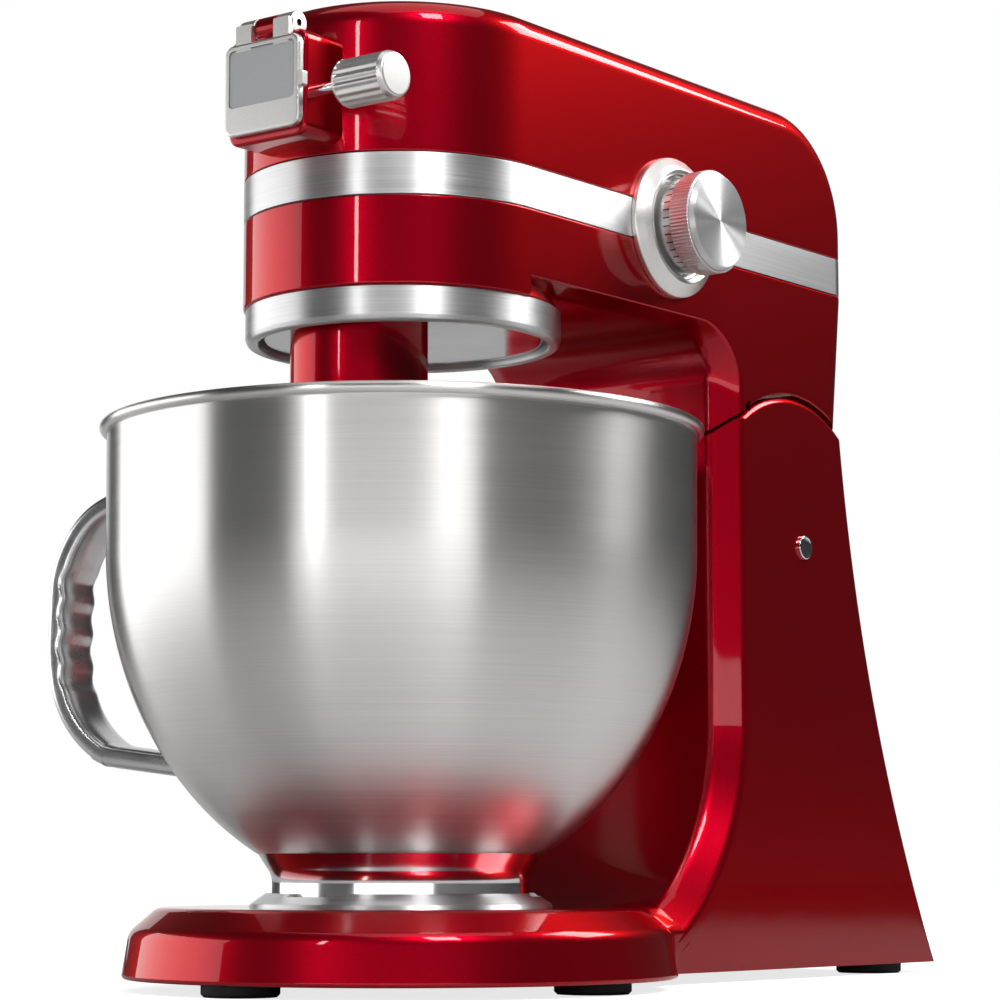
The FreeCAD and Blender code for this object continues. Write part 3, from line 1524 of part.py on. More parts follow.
def make_motor():
    """The upright motor: a base cup with the fan in it, the slotted stator, the cap, rotor and belt drive."""
    y = s.motor_y
    base_low = s.under_height + s.wall + s.deck_plate
    stator_low = base_low + s.motor_base
    cap_low = stator_low + s.stator_height
    cap_top = cap_low + s.motor_cap
    shaft_hole = s.rotor_shaft + s.run_fit
    cup = rod("motor_cup", s.motor_radius, (0, y, base_low), s.motor_base)
    cup_room = rod("motor_cup_room", s.motor_radius - s.wall, (0, y, base_low + s.motor_cap), s.motor_base)
    cup_hole = rod("motor_cup_hole", shaft_hole, (0, y, base_low - 1), s.motor_cap + 2)
    node("motor_base", cut("motor_base", cup, cup_room, cup_hole))
    slots = [
        made(f"stator_slot_{index}", stator_slot(index * 360 / STATOR_SLOTS, y.value, stator_low.value))
        for index in range(STATOR_SLOTS)
    ]
    core = tube(
        "stator_core", s.motor_radius, s.rotor_radius + s.free_gap, (0, y, stator_low), s.stator_height
    )
    node("motor_stator", cut("motor_stator", core, *slots))
    node("motor_cap", tube("motor_cap", s.motor_radius, shaft_hole, (0, y, cap_low), s.motor_cap))
    shaft_top = s.pulley_height + s.pulley_thick
    node("rotor_shaft", rod("rotor_shaft", s.rotor_shaft, (0, y, base_low), shaft_top - base_low))
    seat = s.rotor_shaft + s.seat_fit
    node(
        "rotor_core",
        tube(
            "rotor_core",
            s.rotor_radius,
            seat,
            (0, y, stator_low + s.free_gap),
            s.stator_height - s.free_gap * 2,
        ),
    )
    fan_low = base_low + s.motor_cap + s.free_gap
    fan_thick = s.motor_base - s.motor_cap - s.free_gap * 3
    hub = rod("fan_hub", s.rotor_shaft * 2, (0, y, fan_low), fan_thick)
    reach = v.motor_radius - v.wall * 2
    blades = []
    for index in range(FAN_BLADES):
        blade = Part.makeBox(
            reach - v.rotor_shaft, v.wall / 3, fan_thick.value, Vector(v.rotor_shaft * 1.6, 0, 0)
        )
        blade.translate(Vector(0, -v.wall / 6, fan_low.value))
        blade.rotate(Vector(), Z_AXIS, index * 360 / FAN_BLADES)
        blade.translate(Vector(0, v.motor_y, 0))
        blades.append(made(f"fan_blade_{index}", blade))
    fan_bore = rod("fan_bore", seat, (0, y, fan_low - 1), fan_thick + 2)
    node("cooling_fan", cut("cooling_fan", fuse("fan_blank", hub, *blades), fan_bore))
    node(
        "motor_pulley", tube("motor_pulley", s.pulley_small, seat, (0, y, s.pulley_height), s.pulley_thick)
    )
    loops = [belt_wire(extra) for extra in (v.plate_gap + v.belt_thick, v.plate_gap)]
    height = Z_AXIS * (v.pulley_thick - 2 * v.plate_gap)
    belt = prism(loops[0], height).cut(prism(loops[1], height))
    belt.translate(Z_AXIS * (v.pulley_height + v.plate_gap))
    node("drive_belt", made("drive_belt", belt))
    print(f"motor cap top {cap_top.value:.1f} mm, belt {v.pulley_height:.1f} mm up")


def stator_slot(turn, centre_y, low):
    """One winding slot that opens into the stator's bore."""
    slot = Part.makeBox(
        v.wall * 2.4, v.wall, v.stator_height, Vector(v.rotor_radius - v.wall, -v.wall / 2, low)
    )
    slot.rotate(Vector(), Z_AXIS, turn)
    slot.translate(Vector(0, centre_y, 0))
    return slot


def belt_wire(extra):
    """The run of a belt round the two pulleys, a distance outside them."""
    large, small = v.pulley_large + extra, v.pulley_small + extra
    turn = math.acos((large - small) / (v.motor_y - v.lay_y))
    side, ahead = math.sin(turn), math.cos(turn)
    return outline(
        Vector(-large * side, v.lay_y + large * ahead, 0),
        (Vector(0, v.lay_y - large, 0), Vector(large * side, v.lay_y + large * ahead, 0)),
        Vector(small * side, v.motor_y + small * ahead, 0),
        (Vector(0, v.motor_y + small, 0), Vector(-small * side, v.motor_y + small * ahead, 0)),
    )


def make_hub():
    """The accessory hub: housing, bush and driven shaft, the hinged flap over them and the side clamp."""
    front, half = s.hub_front, s.hub_half
    pin_y, pin_z = -s.flap_pin_y, s.flap_pin_height
    block = box("hub_block", (-half, -front, s.hub_low), (half, -s.half_width / 2, s.hub_high))
    corners = doc.addObject("Part::Fillet", "hub_rounds")
    corners.Base = block
    doc.recompute()
    rims = []
    for number, edge in enumerate(block.Shape.Edges, start=1):
        span = edge.BoundBox
        if span.YLength > 1:
            rims.append((number, v.wall, v.wall))
    corners.Edges = rims
    nose = rod("hub_nose_cut", s.half_width + s.seat_fit, (0, 0, 0), s.head_top)
    bore = rod("hub_bore_cut", s.hub_bore, (0, -front - 1, s.hub_axis), s.hub_depth + 1, "Y")
    bush_start = -front + s.hub_depth
    bush_hole = rod(
        "hub_bush_hole", s.hub_bush + s.seat_fit, (0, bush_start - 1, s.hub_axis), s.hub_front, "Y"
    )
    screw_hole = rod(
        "hub_screw_hole", s.clamp_rod + s.run_fit, (0, -s.clamp_y, s.clamp_height), half + 1, "X"
    )
    knuckle = rod(
        "hub_knuckle_round",
        s.knuckle_radius,
        (-s.knuckle_gap + s.free_gap, pin_y, pin_z),
        (s.knuckle_gap - s.free_gap) * 2,
        "X",
    )
    web = box(
        "hub_knuckle_web",
        (-s.knuckle_gap + s.free_gap, pin_y - s.knuckle_radius * 0.6, s.hub_high - 1),
        (s.knuckle_gap - s.free_gap, pin_y + s.knuckle_radius * 2, pin_z),
    )
    room = [
        rod(
            f"knuckle_room_{index}",
            s.knuckle_radius + s.free_gap,
            (start, pin_y, pin_z),
            s.knuckle_half - s.knuckle_gap + s.free_gap * 2,
            "X",
        )
        for index, start in enumerate((-s.knuckle_half - s.free_gap, s.knuckle_gap - s.free_gap))
    ]
    pin_radius = s.clamp_rod * 0.6
    eye = rod("hub_eye", pin_radius + s.run_fit, (-half, pin_y, pin_z), half * 2, "X")
    shell = cut("hub_shell", corners, nose, bore, bush_hole, screw_hole, *room)
    node("hub_housing", cut("hub_housing", fuse("hub_with_knuckle", shell, knuckle, web), eye))

    bush_length = s.hub_depth / 2 + s.wall
    bush_at = (0, bush_start, s.hub_axis)
    node("hub_bush", tube("hub_bush", s.hub_bush, s.tool_radius + s.run_fit, bush_at, bush_length, "Y"))
    bevel_end = -s.bevel_reach + s.bevel_face
    drive = rod("hub_rod", s.tool_radius, (0, bush_start, s.hub_axis), bevel_end - bush_start, "Y")
    key = s.tool_radius * 0.55
    socket = box(
        "hub_square",
        (-key, bush_start - 1, s.hub_axis - key),
        (key, bush_start + s.hub_depth, s.hub_axis + key),
    )
    node("hub_shaft", cut("hub_shaft", drive, socket))
    wheel = bevel_wheel(180 / BEVEL_TEETH - 90)
    wheel.rotate(Vector(), X_AXIS, -90)
    wheel.translate(Vector(0, 0, v.hub_axis))
    back = -s.bevel_reach - s.deck_plate - 1
    wheel_bore = rod(
        "hub_bevel_bore",
        s.tool_radius + s.seat_fit,
        (0, back, s.hub_axis),
        s.bevel_reach + s.deck_plate,
        "Y",
    )
    node("hub_bevel", cut("hub_bevel", made("hub_bevel_teeth", wheel), wheel_bore))

    flap_back = -front - s.plate_gap
    flap_front = flap_back - s.flap_thick
    wide = s.flap_half
    panel_low = s.flap_low + (s.flap_high - s.flap_low) * 0.31
    margin = s.flap_thick * 0.8
    plate = box("flap_plate", (-wide, flap_front, s.flap_low), (wide, flap_back, s.flap_high))
    plate_rounds = doc.addObject("Part::Fillet", "flap_rounds")
    plate_rounds.Base = plate
    doc.recompute()
    plate_rounds.Edges = [
        (number, v.flap_thick, v.flap_thick)
        for number, edge in enumerate(plate.Shape.Edges, start=1)
        if edge.BoundBox.YLength > 1
    ]
    recess = box(
        "flap_recess",
        (-wide + margin, flap_front - 1, panel_low),
        (wide - margin, flap_front + s.flap_thick * 0.4, s.flap_high - margin),
    )
    arms, knuckles = [], []
    for index, start in enumerate((-s.knuckle_half, s.knuckle_gap)):
        length = s.knuckle_half - s.knuckle_gap
        arms.append(
            box(
                f"flap_arm_{index}",
                (start, flap_front, s.flap_high - margin),
                (start + length, flap_back, pin_z + s.knuckle_radius * 0.3),
            )
        )
        knuckles.append(rod(f"flap_knuckle_{index}", s.knuckle_radius, (start, pin_y, pin_z), length, "X"))
    middle = (s.flap_low + s.flap_high) / 2
    nub = box(
        "flap_nub",
        (wide - 1, flap_front, middle - s.flap_thick),
        (wide + s.flap_thick * 0.6, flap_back, middle + s.flap_thick),
    )
    flap = cut("flap_frame", plate_rounds, recess)
    pin_hole = rod("flap_eye", pin_radius + s.seat_fit, (-half, pin_y, pin_z), half * 2, "X")
    node("hub_flap", cut("hub_flap", fuse("flap_blank", flap, *arms, *knuckles, nub), pin_hole))
    lip = s.seat_fit
    node(
        "flap_panel",
        box(
            "flap_panel",
            (-wide + margin + lip, flap_front + s.flap_thick * 0.15, panel_low + lip),
            (wide - margin - lip, flap_front + s.flap_thick * 0.4, s.flap_high - margin - lip),
        ),
    )
    node("flap_pin", rod("flap_pin", pin_radius, (-s.knuckle_half, pin_y, pin_z), s.knuckle_half * 2, "X"))

    tip = s.hub_bore + s.plate_gap
    screw_at = (tip, -s.clamp_y, s.clamp_height)
    node("clamp_screw", rod("clamp_screw", s.clamp_rod, screw_at, s.clamp_knob_end - s.wall - tip, "X"))
    knob_length = v.clamp_knob_end - v.clamp_knob_start
    step = math.pi / FLUTES
    flank = [(v.clamp_knob - v.clamp_rod * 0.3, step * 0.75), (v.clamp_knob, step * 0.5)]
    knob = prism(closed(toothed_points(FLUTES, flank, 0)), Z_AXIS * knob_length)
    rim = Part.makeCone(v.clamp_knob - 1.2, v.clamp_knob + knob_length - 1.2, knob_length)
    lid = Part.makeCone(v.clamp_knob + knob_length - 1.2, v.clamp_knob - 1.2, knob_length)
    knob = knob.common(rim).common(lid)
    knob.rotate(Vector(), Y_AXIS, 90)
    knob.translate(Vector(v.clamp_knob_start, -v.clamp_y, v.clamp_height))
    knob_bore = rod(
        "clamp_knob_bore",
        s.clamp_rod + s.seat_fit,
        (s.clamp_knob_start - 1, -s.clamp_y, s.clamp_height),
        s.clamp_knob_end - s.clamp_knob_start - s.wall + 1,
        "X",
    )
    node("clamp_knob", cut("clamp_knob", made("clamp_knob_grip", knob), knob_bore))


def make_dial():
    """The speed dial: a chrome flange on the head, a marked skirt with the shaft, a knurled ring, a cap."""
    z = (s.band_low + s.band_high) / 2
    face = s.half_width
    at = (0, s.dial_y, z)
    inner = s.dial_shaft * 2
    flange_top = face + s.dial_rise
    well_floor = face + s.dial_rise * 0.45
    bore = s.dial_shaft + s.run_fit
    node(
        "dial_flange",
        turned(
            "dial_flange",
            (
                (bore, face - s.wall),
                (inner, face - s.wall),
                (inner, face),
                (s.dial_flange, face),
                (s.dial_flange, face + s.dial_rise * 0.3),
                (s.dial_flange - s.dial_rise * 0.5, face + s.dial_rise * 0.75),
                (s.dial_well + s.dial_rise * 0.35, flange_top),
                (s.dial_well, flange_top - s.dial_rise * 0.1),
                (s.dial_well, well_floor),
                (bore, well_floor),
            ),
            at,
            "X",
        ),
    )
    skirt_low = well_floor + s.free_gap
    ring_low = s.dial_end - s.dial_rise * 1.7
    ring_high = s.dial_end - s.dial_rise * 0.35
    node(
        "dial_skirt",
        turned(
            "dial_skirt",
            (
                (0, face - s.wall * 3),
                (s.dial_shaft, face - s.wall * 3),
                (s.dial_shaft, skirt_low),
                (s.dial_skirt, skirt_low),
                (s.dial_skirt, ring_low),
                (0, ring_low),
            ),
            at,
            "X",
        ),
    )
    step = math.pi / KNURLS
    depth = v.dial_rise * 0.09
    flank = [(v.dial_knurl - depth, step * 0.9), (v.dial_knurl, step * 0.25)]
    length = ring_high.value - ring_low.value
    ring = prism(closed(toothed_points(KNURLS, flank, 0)), Z_AXIS * length)
    ring.rotate(Vector(), Y_AXIS, 90)
    ring.translate(Vector(ring_low.value, v.dial_y, z.value))
    seat = s.dial_cap - s.dial_rise * 0.5
    ring_bore = rod(
        "knurl_bore", seat + s.seat_fit, (ring_low - 1, s.dial_y, z), ring_high - ring_low + 2, "X"
    )
    node("dial_knurl", cut("dial_knurl", made("knurl_ring", ring), ring_bore))
    node(
        "dial_cap",
        turned(
            "dial_cap",
            (
                (0, ring_low),
                (seat, ring_low),
                (seat, ring_high),
                (s.dial_knurl - s.dial_rise * 0.15, ring_high),
                (s.dial_cap, s.dial_end),
                (0, s.dial_end),
            ),
            at,
            "X",
        ),
    )
    half = s.switch_size / 2
    end = face - s.wall - s.free_gap
    body = box(
        "switch_body", (end - s.switch_size, s.dial_y - half, z - half), (end, s.dial_y + half, z + half)
    )
    hole = rod("switch_hole", bore, (face - s.wall * 3 - s.free_gap, s.dial_y, z), s.wall * 4, "X")
    node("speed_switch", cut("speed_switch", body, hole))


def check_and_write():
    """Stops if any object failed to build, then writes each sub-part's solid."""
    doc.recompute()
    failed = [item for item in doc.Objects if "Invalid" in item.State or "Error" in item.State]
    if failed:
        raise RuntimeError("; ".join(f"{item.Label}: {item.getStatusString()}" for item in failed))
    os.makedirs("parts", exist_ok=True)
    for name, item in nodes.items():
        if item.Shape.isNull() or not item.Shape.isValid() or not item.Shape.Solids:
            raise RuntimeError(f"{name} has no valid solid")
        print(f"{name}: {len(item.Shape.Solids)} solid, {item.Shape.Volume / 1000:.2f} cm3")
    for name, item in nodes.items():
        item.Shape.exportStep(f"parts/{name}.step")


make_base_casting()
make_bottom()
make_bowl()
make_handle()
make_head_shells()
make_hinge()
make_release()
make_planetary()
make_gearbox()
make_motor()
make_hub()
make_dial()
check_and_write()
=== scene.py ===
"""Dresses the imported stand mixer: smooth skins over the shells that show, and a finish for every piece."""

import json
import math

import bmesh
import bpy
import numpy as np
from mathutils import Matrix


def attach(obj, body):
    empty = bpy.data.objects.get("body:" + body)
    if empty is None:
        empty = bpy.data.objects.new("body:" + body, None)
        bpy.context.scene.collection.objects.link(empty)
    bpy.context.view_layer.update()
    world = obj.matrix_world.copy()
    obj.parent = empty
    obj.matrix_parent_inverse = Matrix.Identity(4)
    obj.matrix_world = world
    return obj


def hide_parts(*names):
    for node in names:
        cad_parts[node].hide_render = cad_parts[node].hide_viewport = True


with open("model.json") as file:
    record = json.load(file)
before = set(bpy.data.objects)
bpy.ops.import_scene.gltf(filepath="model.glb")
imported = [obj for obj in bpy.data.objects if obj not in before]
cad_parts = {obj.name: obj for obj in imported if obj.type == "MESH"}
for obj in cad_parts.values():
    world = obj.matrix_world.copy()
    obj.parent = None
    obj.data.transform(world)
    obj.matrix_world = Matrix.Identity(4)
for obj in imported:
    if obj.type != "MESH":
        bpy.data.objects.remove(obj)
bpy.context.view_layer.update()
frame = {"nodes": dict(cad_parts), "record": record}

MM = 0.001

# Sizes in millimetres, as in the solids. Z is up, the front faces -Y and the dial is on the +X side.
# The base: its foot, crease and deck, the lip turned in under the foot, and the fillets at its waist.
FOOT_HEIGHT, CREASE_HEIGHT, DECK_HEIGHT = 4.3, 21.5, 30.5
SKIRT_RADIUS, CREASE_RADIUS, DECK_RADIUS = 104.0, 101.3, 90.9
FOOT_LIP, FOOT_LIP_TOP, DECK_INSET, WAIST_FILLET = 3.0, 9.0, 30.0, 25.0
# The base's straight sides lie inside the column's flanks, start behind the waist and stop before the tail.
SIDE_INSET, SIDE_START, SIDE_STOP = 0.3, 9.0, 14.0

# The column: its width and front bevel, the sweep of its front, the hump about the hinge and the bowed tail.
HALF_WIDTH, BEVEL, BEVEL_INSIDE, FLANK_ROUND = 61.5, 10.0, 46.0, 3.0
SWEEP_Y, SWEEP_HEIGHT, SWEEP_RADIUS, SWEEP_START = 43.5, 104.5, 100.0, 12.0
HINGE_Y, HINGE_HEIGHT, HUMP_RADIUS, SEAM_GAP = 181.5, 173.4, 67.0, 1.2
TAIL_TOP_Y, TAIL_FOOT_Y, TAIL_BOW, TAIL_LIP = 220.7, 294.3, 11.0, 4.0
# The flat of a flank, as an offset behind the front and an inset of the outline, and the corner it ends at.
STAND_FLANK, FLANK_CORNER_Y = (-6.0, 7.0), 83.5

# The head: cover, band and lower casting. A rim is the eased edge that cover and casting turn to the band.
HEAD_TOP, HEAD_REAR, UNDER_HEIGHT, LIP_DROP = 364.5, 227.0, 264.0, 3.0
NECK_CORNER, CROWN_RADIUS, EDGE_ROUND, FLANK_LAP = 30.0, 49.0, 10.0, 1.0
HEAD_FLANK = (-5.0, EDGE_ROUND + FLANK_LAP)
# The hollow over the hump widens by a slope where the outline's inset passes a start.
HOLLOW_START, HOLLOW_SLOPE = 7.5, 0.6
BAND_LOW, BAND_HIGH, BAND_GAP = 289.8, 305.5, 0.3
RIM_DEPTH, RIM_ROUND, RIM_INSET, BACK_INSET = 2.0, 0.6, 3.0, 0.03
NOSE_LOW, COLLAR_LOW, COLLAR_HIGH, COLLAR_BORE = 256.0, 59.5, 54.8, 50.0
NOSE_SPAN, NOSE_COLUMNS = (180, 360), 96

# Under the nose: the ring, the planet disc and the boss that the tool hangs in.
RING_BORE, RING_RADIUS, RING_LOW = 55.7, 60.5, 243.2
DISC_RADIUS, DISC_HIGH, DISC_LOW, SHAFT_BORE = 53.8, 252.0, 245.0, 8.1
BOSS_RADIUS, BOSS_LOW, TOOL_BORE, THROW = 26.0, 218.0, 8.6, 26.0

# The bowl, its foot ring and its handle, whose path is given as (distance from the axis, height).
BOWL_RADIUS, BOWL_RIM, BOWL_SHOULDER, BOWL_DROP = 112.0, 212.0, 165.0, 131.0
BOWL_BASE, BOWL_WALL, BOWL_BEAD = 54.0, 1.3, 2.1
FOOT_RING, FOOT_RING_BORE, FOOT_RING_LOW = 48.3, 45.7, 31.4
HANDLE_PATH = [(109, 190.5), (131, 185), (144.2, 163), (145.2, 128), (140, 97), (122, 88.5), (83.5, 83.4)]
HANDLE_BENDS = (30, 40, 70, 40, 30)
HANDLE_HALF_WIDTH, HANDLE_HALF_DEPTH, HANDLE_SQUARENESS, HANDLE_HEADING = 13.0, 4.5, 0.55, -165.0
GRIP_LOW, GRIP_LENGTH, GRIP_WAVE, GRIP_FINGERS = 112.0, 52.0, 1.1, 4

# The dial, clamp knob and release button, which turn or slide along X at a place in Y and Z.
DIAL = (93.0, 297.65)
DIAL_MARKS, MARK_SHARE, MARK_START = 36, 0.16, 70.2
DIAL_RIDGES, RIDGE_DEPTH, RIDGE_INSIDE = 90, 0.3, 20.0
CLAMP = (-73.0, 326.0)
CLAMP_FLUTES, FLUTE_DEPTH, FLUTE_INSIDE, FLUTE_START, FLUTE_END = 18, 0.55, 8.95, 35.0, 54.0
BUTTON = (188.9, 178.0)
BUTTON_FACE, BUTTON_RIM, BUTTON_DISH = 62.7, 4.0, 0.5

# The hub's housing and bore, and the flap with its panel: half width, low edge, high edge and corner radius.
HUB_OUTLINE, HUB_BACK, HUB_FACE, HUB_FLOOR = (19.0, 309.0, 349.0, 4.5), -50.0, -79.0, -66.0
HUB_AXIS, HUB_BORE, HUB_SOCKET, HUB_FACE_INSET = 328.0, 14.0, 9.3, 4.6
FLAP_OUTLINE, FLAP_BACK, FLAP_FRONT = (18.3, 312.0, 346.5, 4.0), -79.3, -82.1
SINK_OUTLINE, SINK_DEPTH = (16.1, 322.6, 344.3, 2.0), 1.1
PANEL_OUTLINE, PANEL_DEPTH = (16.05, 322.65, 344.25, 2.0), 0.4
FLAP_PIN, KNUCKLE_RADIUS, KNUCKLE_ROUND = (-76.0, 352.0), 4.4, 0.4
LUG_HALF, WEB_LOW, WEB_DEPTHS = 5.0, 346.0, (-78.6, -68.0)
STRAP_START, STRAP_END, STRAP_LOW, STRAP_HIGH = 5.4, 13.0, 343.5, 353.4
NUB_OUTLINE, NUB_X = (1.2, 326.4, 332.0, 0.8), 18.9

# A corner whose half angle in radians is over this is as good as straight, and a ray never divides by less.
NEARLY_STRAIGHT, LEAST_SHARE = 1.57, 1e-6


def arc(centre, radius, start, end, steps):
    """Points on a circle about a centre, from one angle in degrees to another."""
    turn = np.radians(np.linspace(start, end, steps))
    return np.stack([centre[0] + radius * np.cos(turn), centre[1] + radius * np.sin(turn)], axis=-1)


def rounded(points, radii, steps=7):
    """A polyline whose inner corners are arcs.

    Each arc's centre lies on the corner's bisector, at its radius over the sine of half the corner."""
    points = np.asarray(points, float)
    out = [points[:1]]
    for before, corner, after, radius in zip(points, points[1:], points[2:], radii):
        back, ahead = before - corner, after - corner
        back, ahead = back / np.linalg.norm(back), ahead / np.linalg.norm(ahead)
        half = math.acos(np.clip(back @ ahead, -1, 1)) / 2
        if radius == 0 or half > NEARLY_STRAIGHT:
            out.append(corner[None])
            continue
        bisector = (back + ahead) / np.linalg.norm(back + ahead)
        centre = corner + bisector * radius / math.sin(half)
        blend = np.linspace(-1, 1, steps) * (math.pi / 2 - half)
        side = (ahead - back) / np.linalg.norm(ahead - back)
        out.append(centre + radius * (np.outer(np.sin(blend), side) - np.outer(np.cos(blend), bisector)))
    out.append(points[-1:])
    return np.concatenate(out)


def spun(profile, columns=160, centre=(0.0, 0.0), axis="Z", span=(0, 360), cut=0.0):
    """A profile of (radius, height) carried round an axis: each point makes a circle, or an arc over a span.

    A cut is taken off the radius, point by point, where the surface is fluted."""
    turn = np.radians(np.linspace(*span, columns + 1))
    radius, height = np.asarray(profile, float).T
    radius = radius[:, None] - cut
    across = centre[0] + radius * np.cos(turn)
    along = centre[1] + radius * np.sin(turn)
    lift = np.repeat(height[:, None], columns + 1, axis=1)
    order = (across, along, lift) if axis == "Z" else (lift, across, along)
    return np.stack(order, axis=-1)


def flutes(columns, count, depth):
    """The cut round a fluted ring: depth times half of one minus the cosine of count times the angle."""
    turn = np.linspace(0, 2 * math.pi, columns + 1)
    return depth * (1 - np.cos(count * turn)) / 2


def ends(tube):
    """The first and last rows of a closed tube, as the polygons that shut it."""
    return [tube[0, :-1], tube[-1, :-1]]


def skin(name, body, material, patches, polygons=(), nodes=(), crease=34.0):
    """One mesh from flat polygons and grids of points in millimetres, joined row to row, column to column.

    Points that coincide are merged, so grids that share an edge make one skin."""
    points, faces, start = [], [], 0
    for patch in patches:
        rows, columns = patch.shape[:2]
        index = np.arange(rows * columns).reshape(rows, columns) + start
        corners = [index[:-1, :-1], index[:-1, 1:], index[1:, 1:], index[1:, :-1]]
        faces += np.stack(corners, axis=-1).reshape(-1, 4).tolist()
        points.append(patch.reshape(-1, 3))
        start += rows * columns
    for polygon in polygons:
        faces.append(list(range(start, start + len(polygon))))
        points.append(np.asarray(polygon, float))
        start += len(polygon)
    mesh = bpy.data.meshes.new(name)
    mesh.from_pydata((np.concatenate(points) * MM).tolist(), [], faces)
    shape = bmesh.new()
    shape.from_mesh(mesh)
    bmesh.ops.remove_doubles(shape, verts=shape.verts, dist=2e-6)
    bmesh.ops.dissolve_degenerate(shape, edges=shape.edges, dist=1e-7)
    bmesh.ops.recalc_face_normals(shape, faces=shape.faces)
    shape.to_mesh(mesh)
    shape.free()
    mesh.shade_smooth()
    mesh.set_sharp_from_angle(angle=math.radians(crease))
    piece = bpy.data.objects.new(name, mesh)
    bpy.context.scene.collection.objects.link(piece)
    weights = piece.modifiers.new("even_shading", "WEIGHTED_NORMAL")
    weights.keep_sharp = True
    mesh.materials.append(material)
    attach(piece, body)
    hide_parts(*nodes)


def linear(code):
    """An sRGB hex colour as linear red, green, blue and alpha."""
    parts = np.array([int(code[i : i + 2], 16) / 255 for i in (1, 3, 5)])
    values = np.where(parts <= 0.04045, parts / 12.92, ((parts + 0.055) / 1.055) ** 2.4)
    return (*values.tolist(), 1.0)


def add(material, kind, links=(), values=(), **settings):
    """Adds one node with its settings, socket values and links from other nodes' outputs."""
    item = material.node_tree.nodes.new(kind)
    for key, setting in settings.items():
        setattr(item, key, setting)
    for socket, value in dict(values).items():
        item.inputs[socket].default_value = value
    for socket, source in dict(links).items():
        material.node_tree.links.new(source, item.inputs[socket])
    return item


def finish(name, **values):
    """A new material with its shader, and the Object coordinates that its patterns are laid out on."""
    material = bpy.data.materials.new(name)
    material.use_nodes = True
    shader = material.node_tree.nodes["Principled BSDF"]
    for socket, value in values.items():
        shader.inputs[socket.replace("_", " ")].default_value = value
    place = add(material, "ShaderNodeTexCoord").outputs["Object"]
    return material, shader, place


def stretched(material, place, waves_per_metre, detail=2.0):
    """Noise that is drawn out along an axis by giving each axis its own count of waves per metre."""
    mapped = add(material, "ShaderNodeMapping", {"Vector": place}, {"Scale": waves_per_metre})
    return add(
        material,
        "ShaderNodeTexNoise",
        {"Vector": mapped.outputs["Vector"]},
        {"Scale": 1.0, "Detail": detail, "Roughness": 0.6},
    ).outputs["Fac"]


def patterned(material, shader, pattern, colours, roughness=None, relief=None, lathe_axis=None):
    """Lets a pattern drive a finish: its colour between two, its roughness between two, and a relief.

    The relief is a strength and a depth in millimetres. With a lathe axis the shine is drawn out round it."""
    ramp = add(material, "ShaderNodeValToRGB", {"Fac": pattern})
    for stop, position, code in zip(ramp.color_ramp.elements, (0.3, 0.7), colours):
        stop.position = position
        stop.color = linear(code)
    drives = {"Base Color": ramp.outputs["Color"]}
    if roughness:
        limits = {"From Min": 0.25, "From Max": 0.75, "To Min": roughness[0], "To Max": roughness[1]}
        level = add(material, "ShaderNodeMapRange", {"Value": pattern}, limits)
        drives["Roughness"] = level.outputs["Result"]
    if relief:
        values = {"Strength": relief[0], "Distance": relief[1] * MM}
        bump = add(material, "ShaderNodeBump", {"Height": pattern}, values)
        drives["Normal"] = bump.outputs["Normal"]
    if lathe_axis:
        around = add(material, "ShaderNodeTangent", direction_type="RADIAL", axis=lathe_axis)
        drives["Tangent"] = around.outputs["Tangent"]
    for socket, source in drives.items():
        material.node_tree.links.new(source, shader.inputs[socket])
    return material


def candy_red_enamel():
    """Candy enamel over cast zinc: a tinted metallic base under a clear coat with a faint sprayed wave."""
    # The specular tint takes the white out of the flake's glancing shine.
    material, shader, place = finish(
        "candy_red_enamel",
        Metallic=0.9,
        Roughness=0.35,
        Specular_Tint=linear("#FF1E32"),
        Coat_Weight=1.0,
        Coat_Roughness=0.03,
        Coat_IOR=1.33,
    )
    # Flake is a few hundredths of a millimetre across; it is drawn at half a millimetre so that it shows.
    flake = stretched(material, place, (2000, 2000, 2000), 1.0)
    wave = stretched(material, place, (60, 60, 60), 1.0)
    bump = add(material, "ShaderNodeBump", {"Height": wave}, {"Strength": 0.05, "Distance": 0.3 * MM})
    material.node_tree.links.new(bump.outputs["Normal"], shader.inputs["Coat Normal"])
    return patterned(material, shader, flake, ("#9A0016", "#AE001E"))


def spun_stainless():
    """Stainless steel polished on a lathe: fine rings round the axis draw reflections up the wall."""
    material, shader, place = finish(
        "satin_stainless_steel", Metallic=1.0, Anisotropic=0.88, Anisotropic_Rotation=0.25
    )
    # Polishing lines are under 0.1 mm apart; they are drawn at 0.4 mm.
    rings = stretched(material, place, (9, 9, 2500), 2.0)
    return patterned(material, shader, rings, ("#D2D1CF", "#DAD9D7"), (0.28, 0.33), (0.02, 0.01), "Z")


def polished_steel(name, smooth, cloudy):
    """Bright steel between two roughnesses, with the faint cloudiness that handling leaves."""
    material, shader, place = finish(name, Metallic=1.0)
    cloud = stretched(material, place, (45, 45, 45), 3.0)
    return patterned(material, shader, cloud, ("#D0D0D2", "#E0E0E1"), (smooth, cloudy))


def brushed_band():
    """Aluminium strip brushed along its length: fine level lines and a soft sheen."""
    material, shader, place = finish(
        "brushed_aluminium", Metallic=1.0, Anisotropic=0.85, Anisotropic_Rotation=0.25
    )
    # Brush lines are near 0.1 mm apart; they are drawn at 0.5 mm.
    lines = stretched(material, place, (14, 14, 2200), 3.0)
    return patterned(material, shader, lines, ("#D0D0D1", "#E4E4E5"), (0.36, 0.46), (0.04, 0.02), "Z")


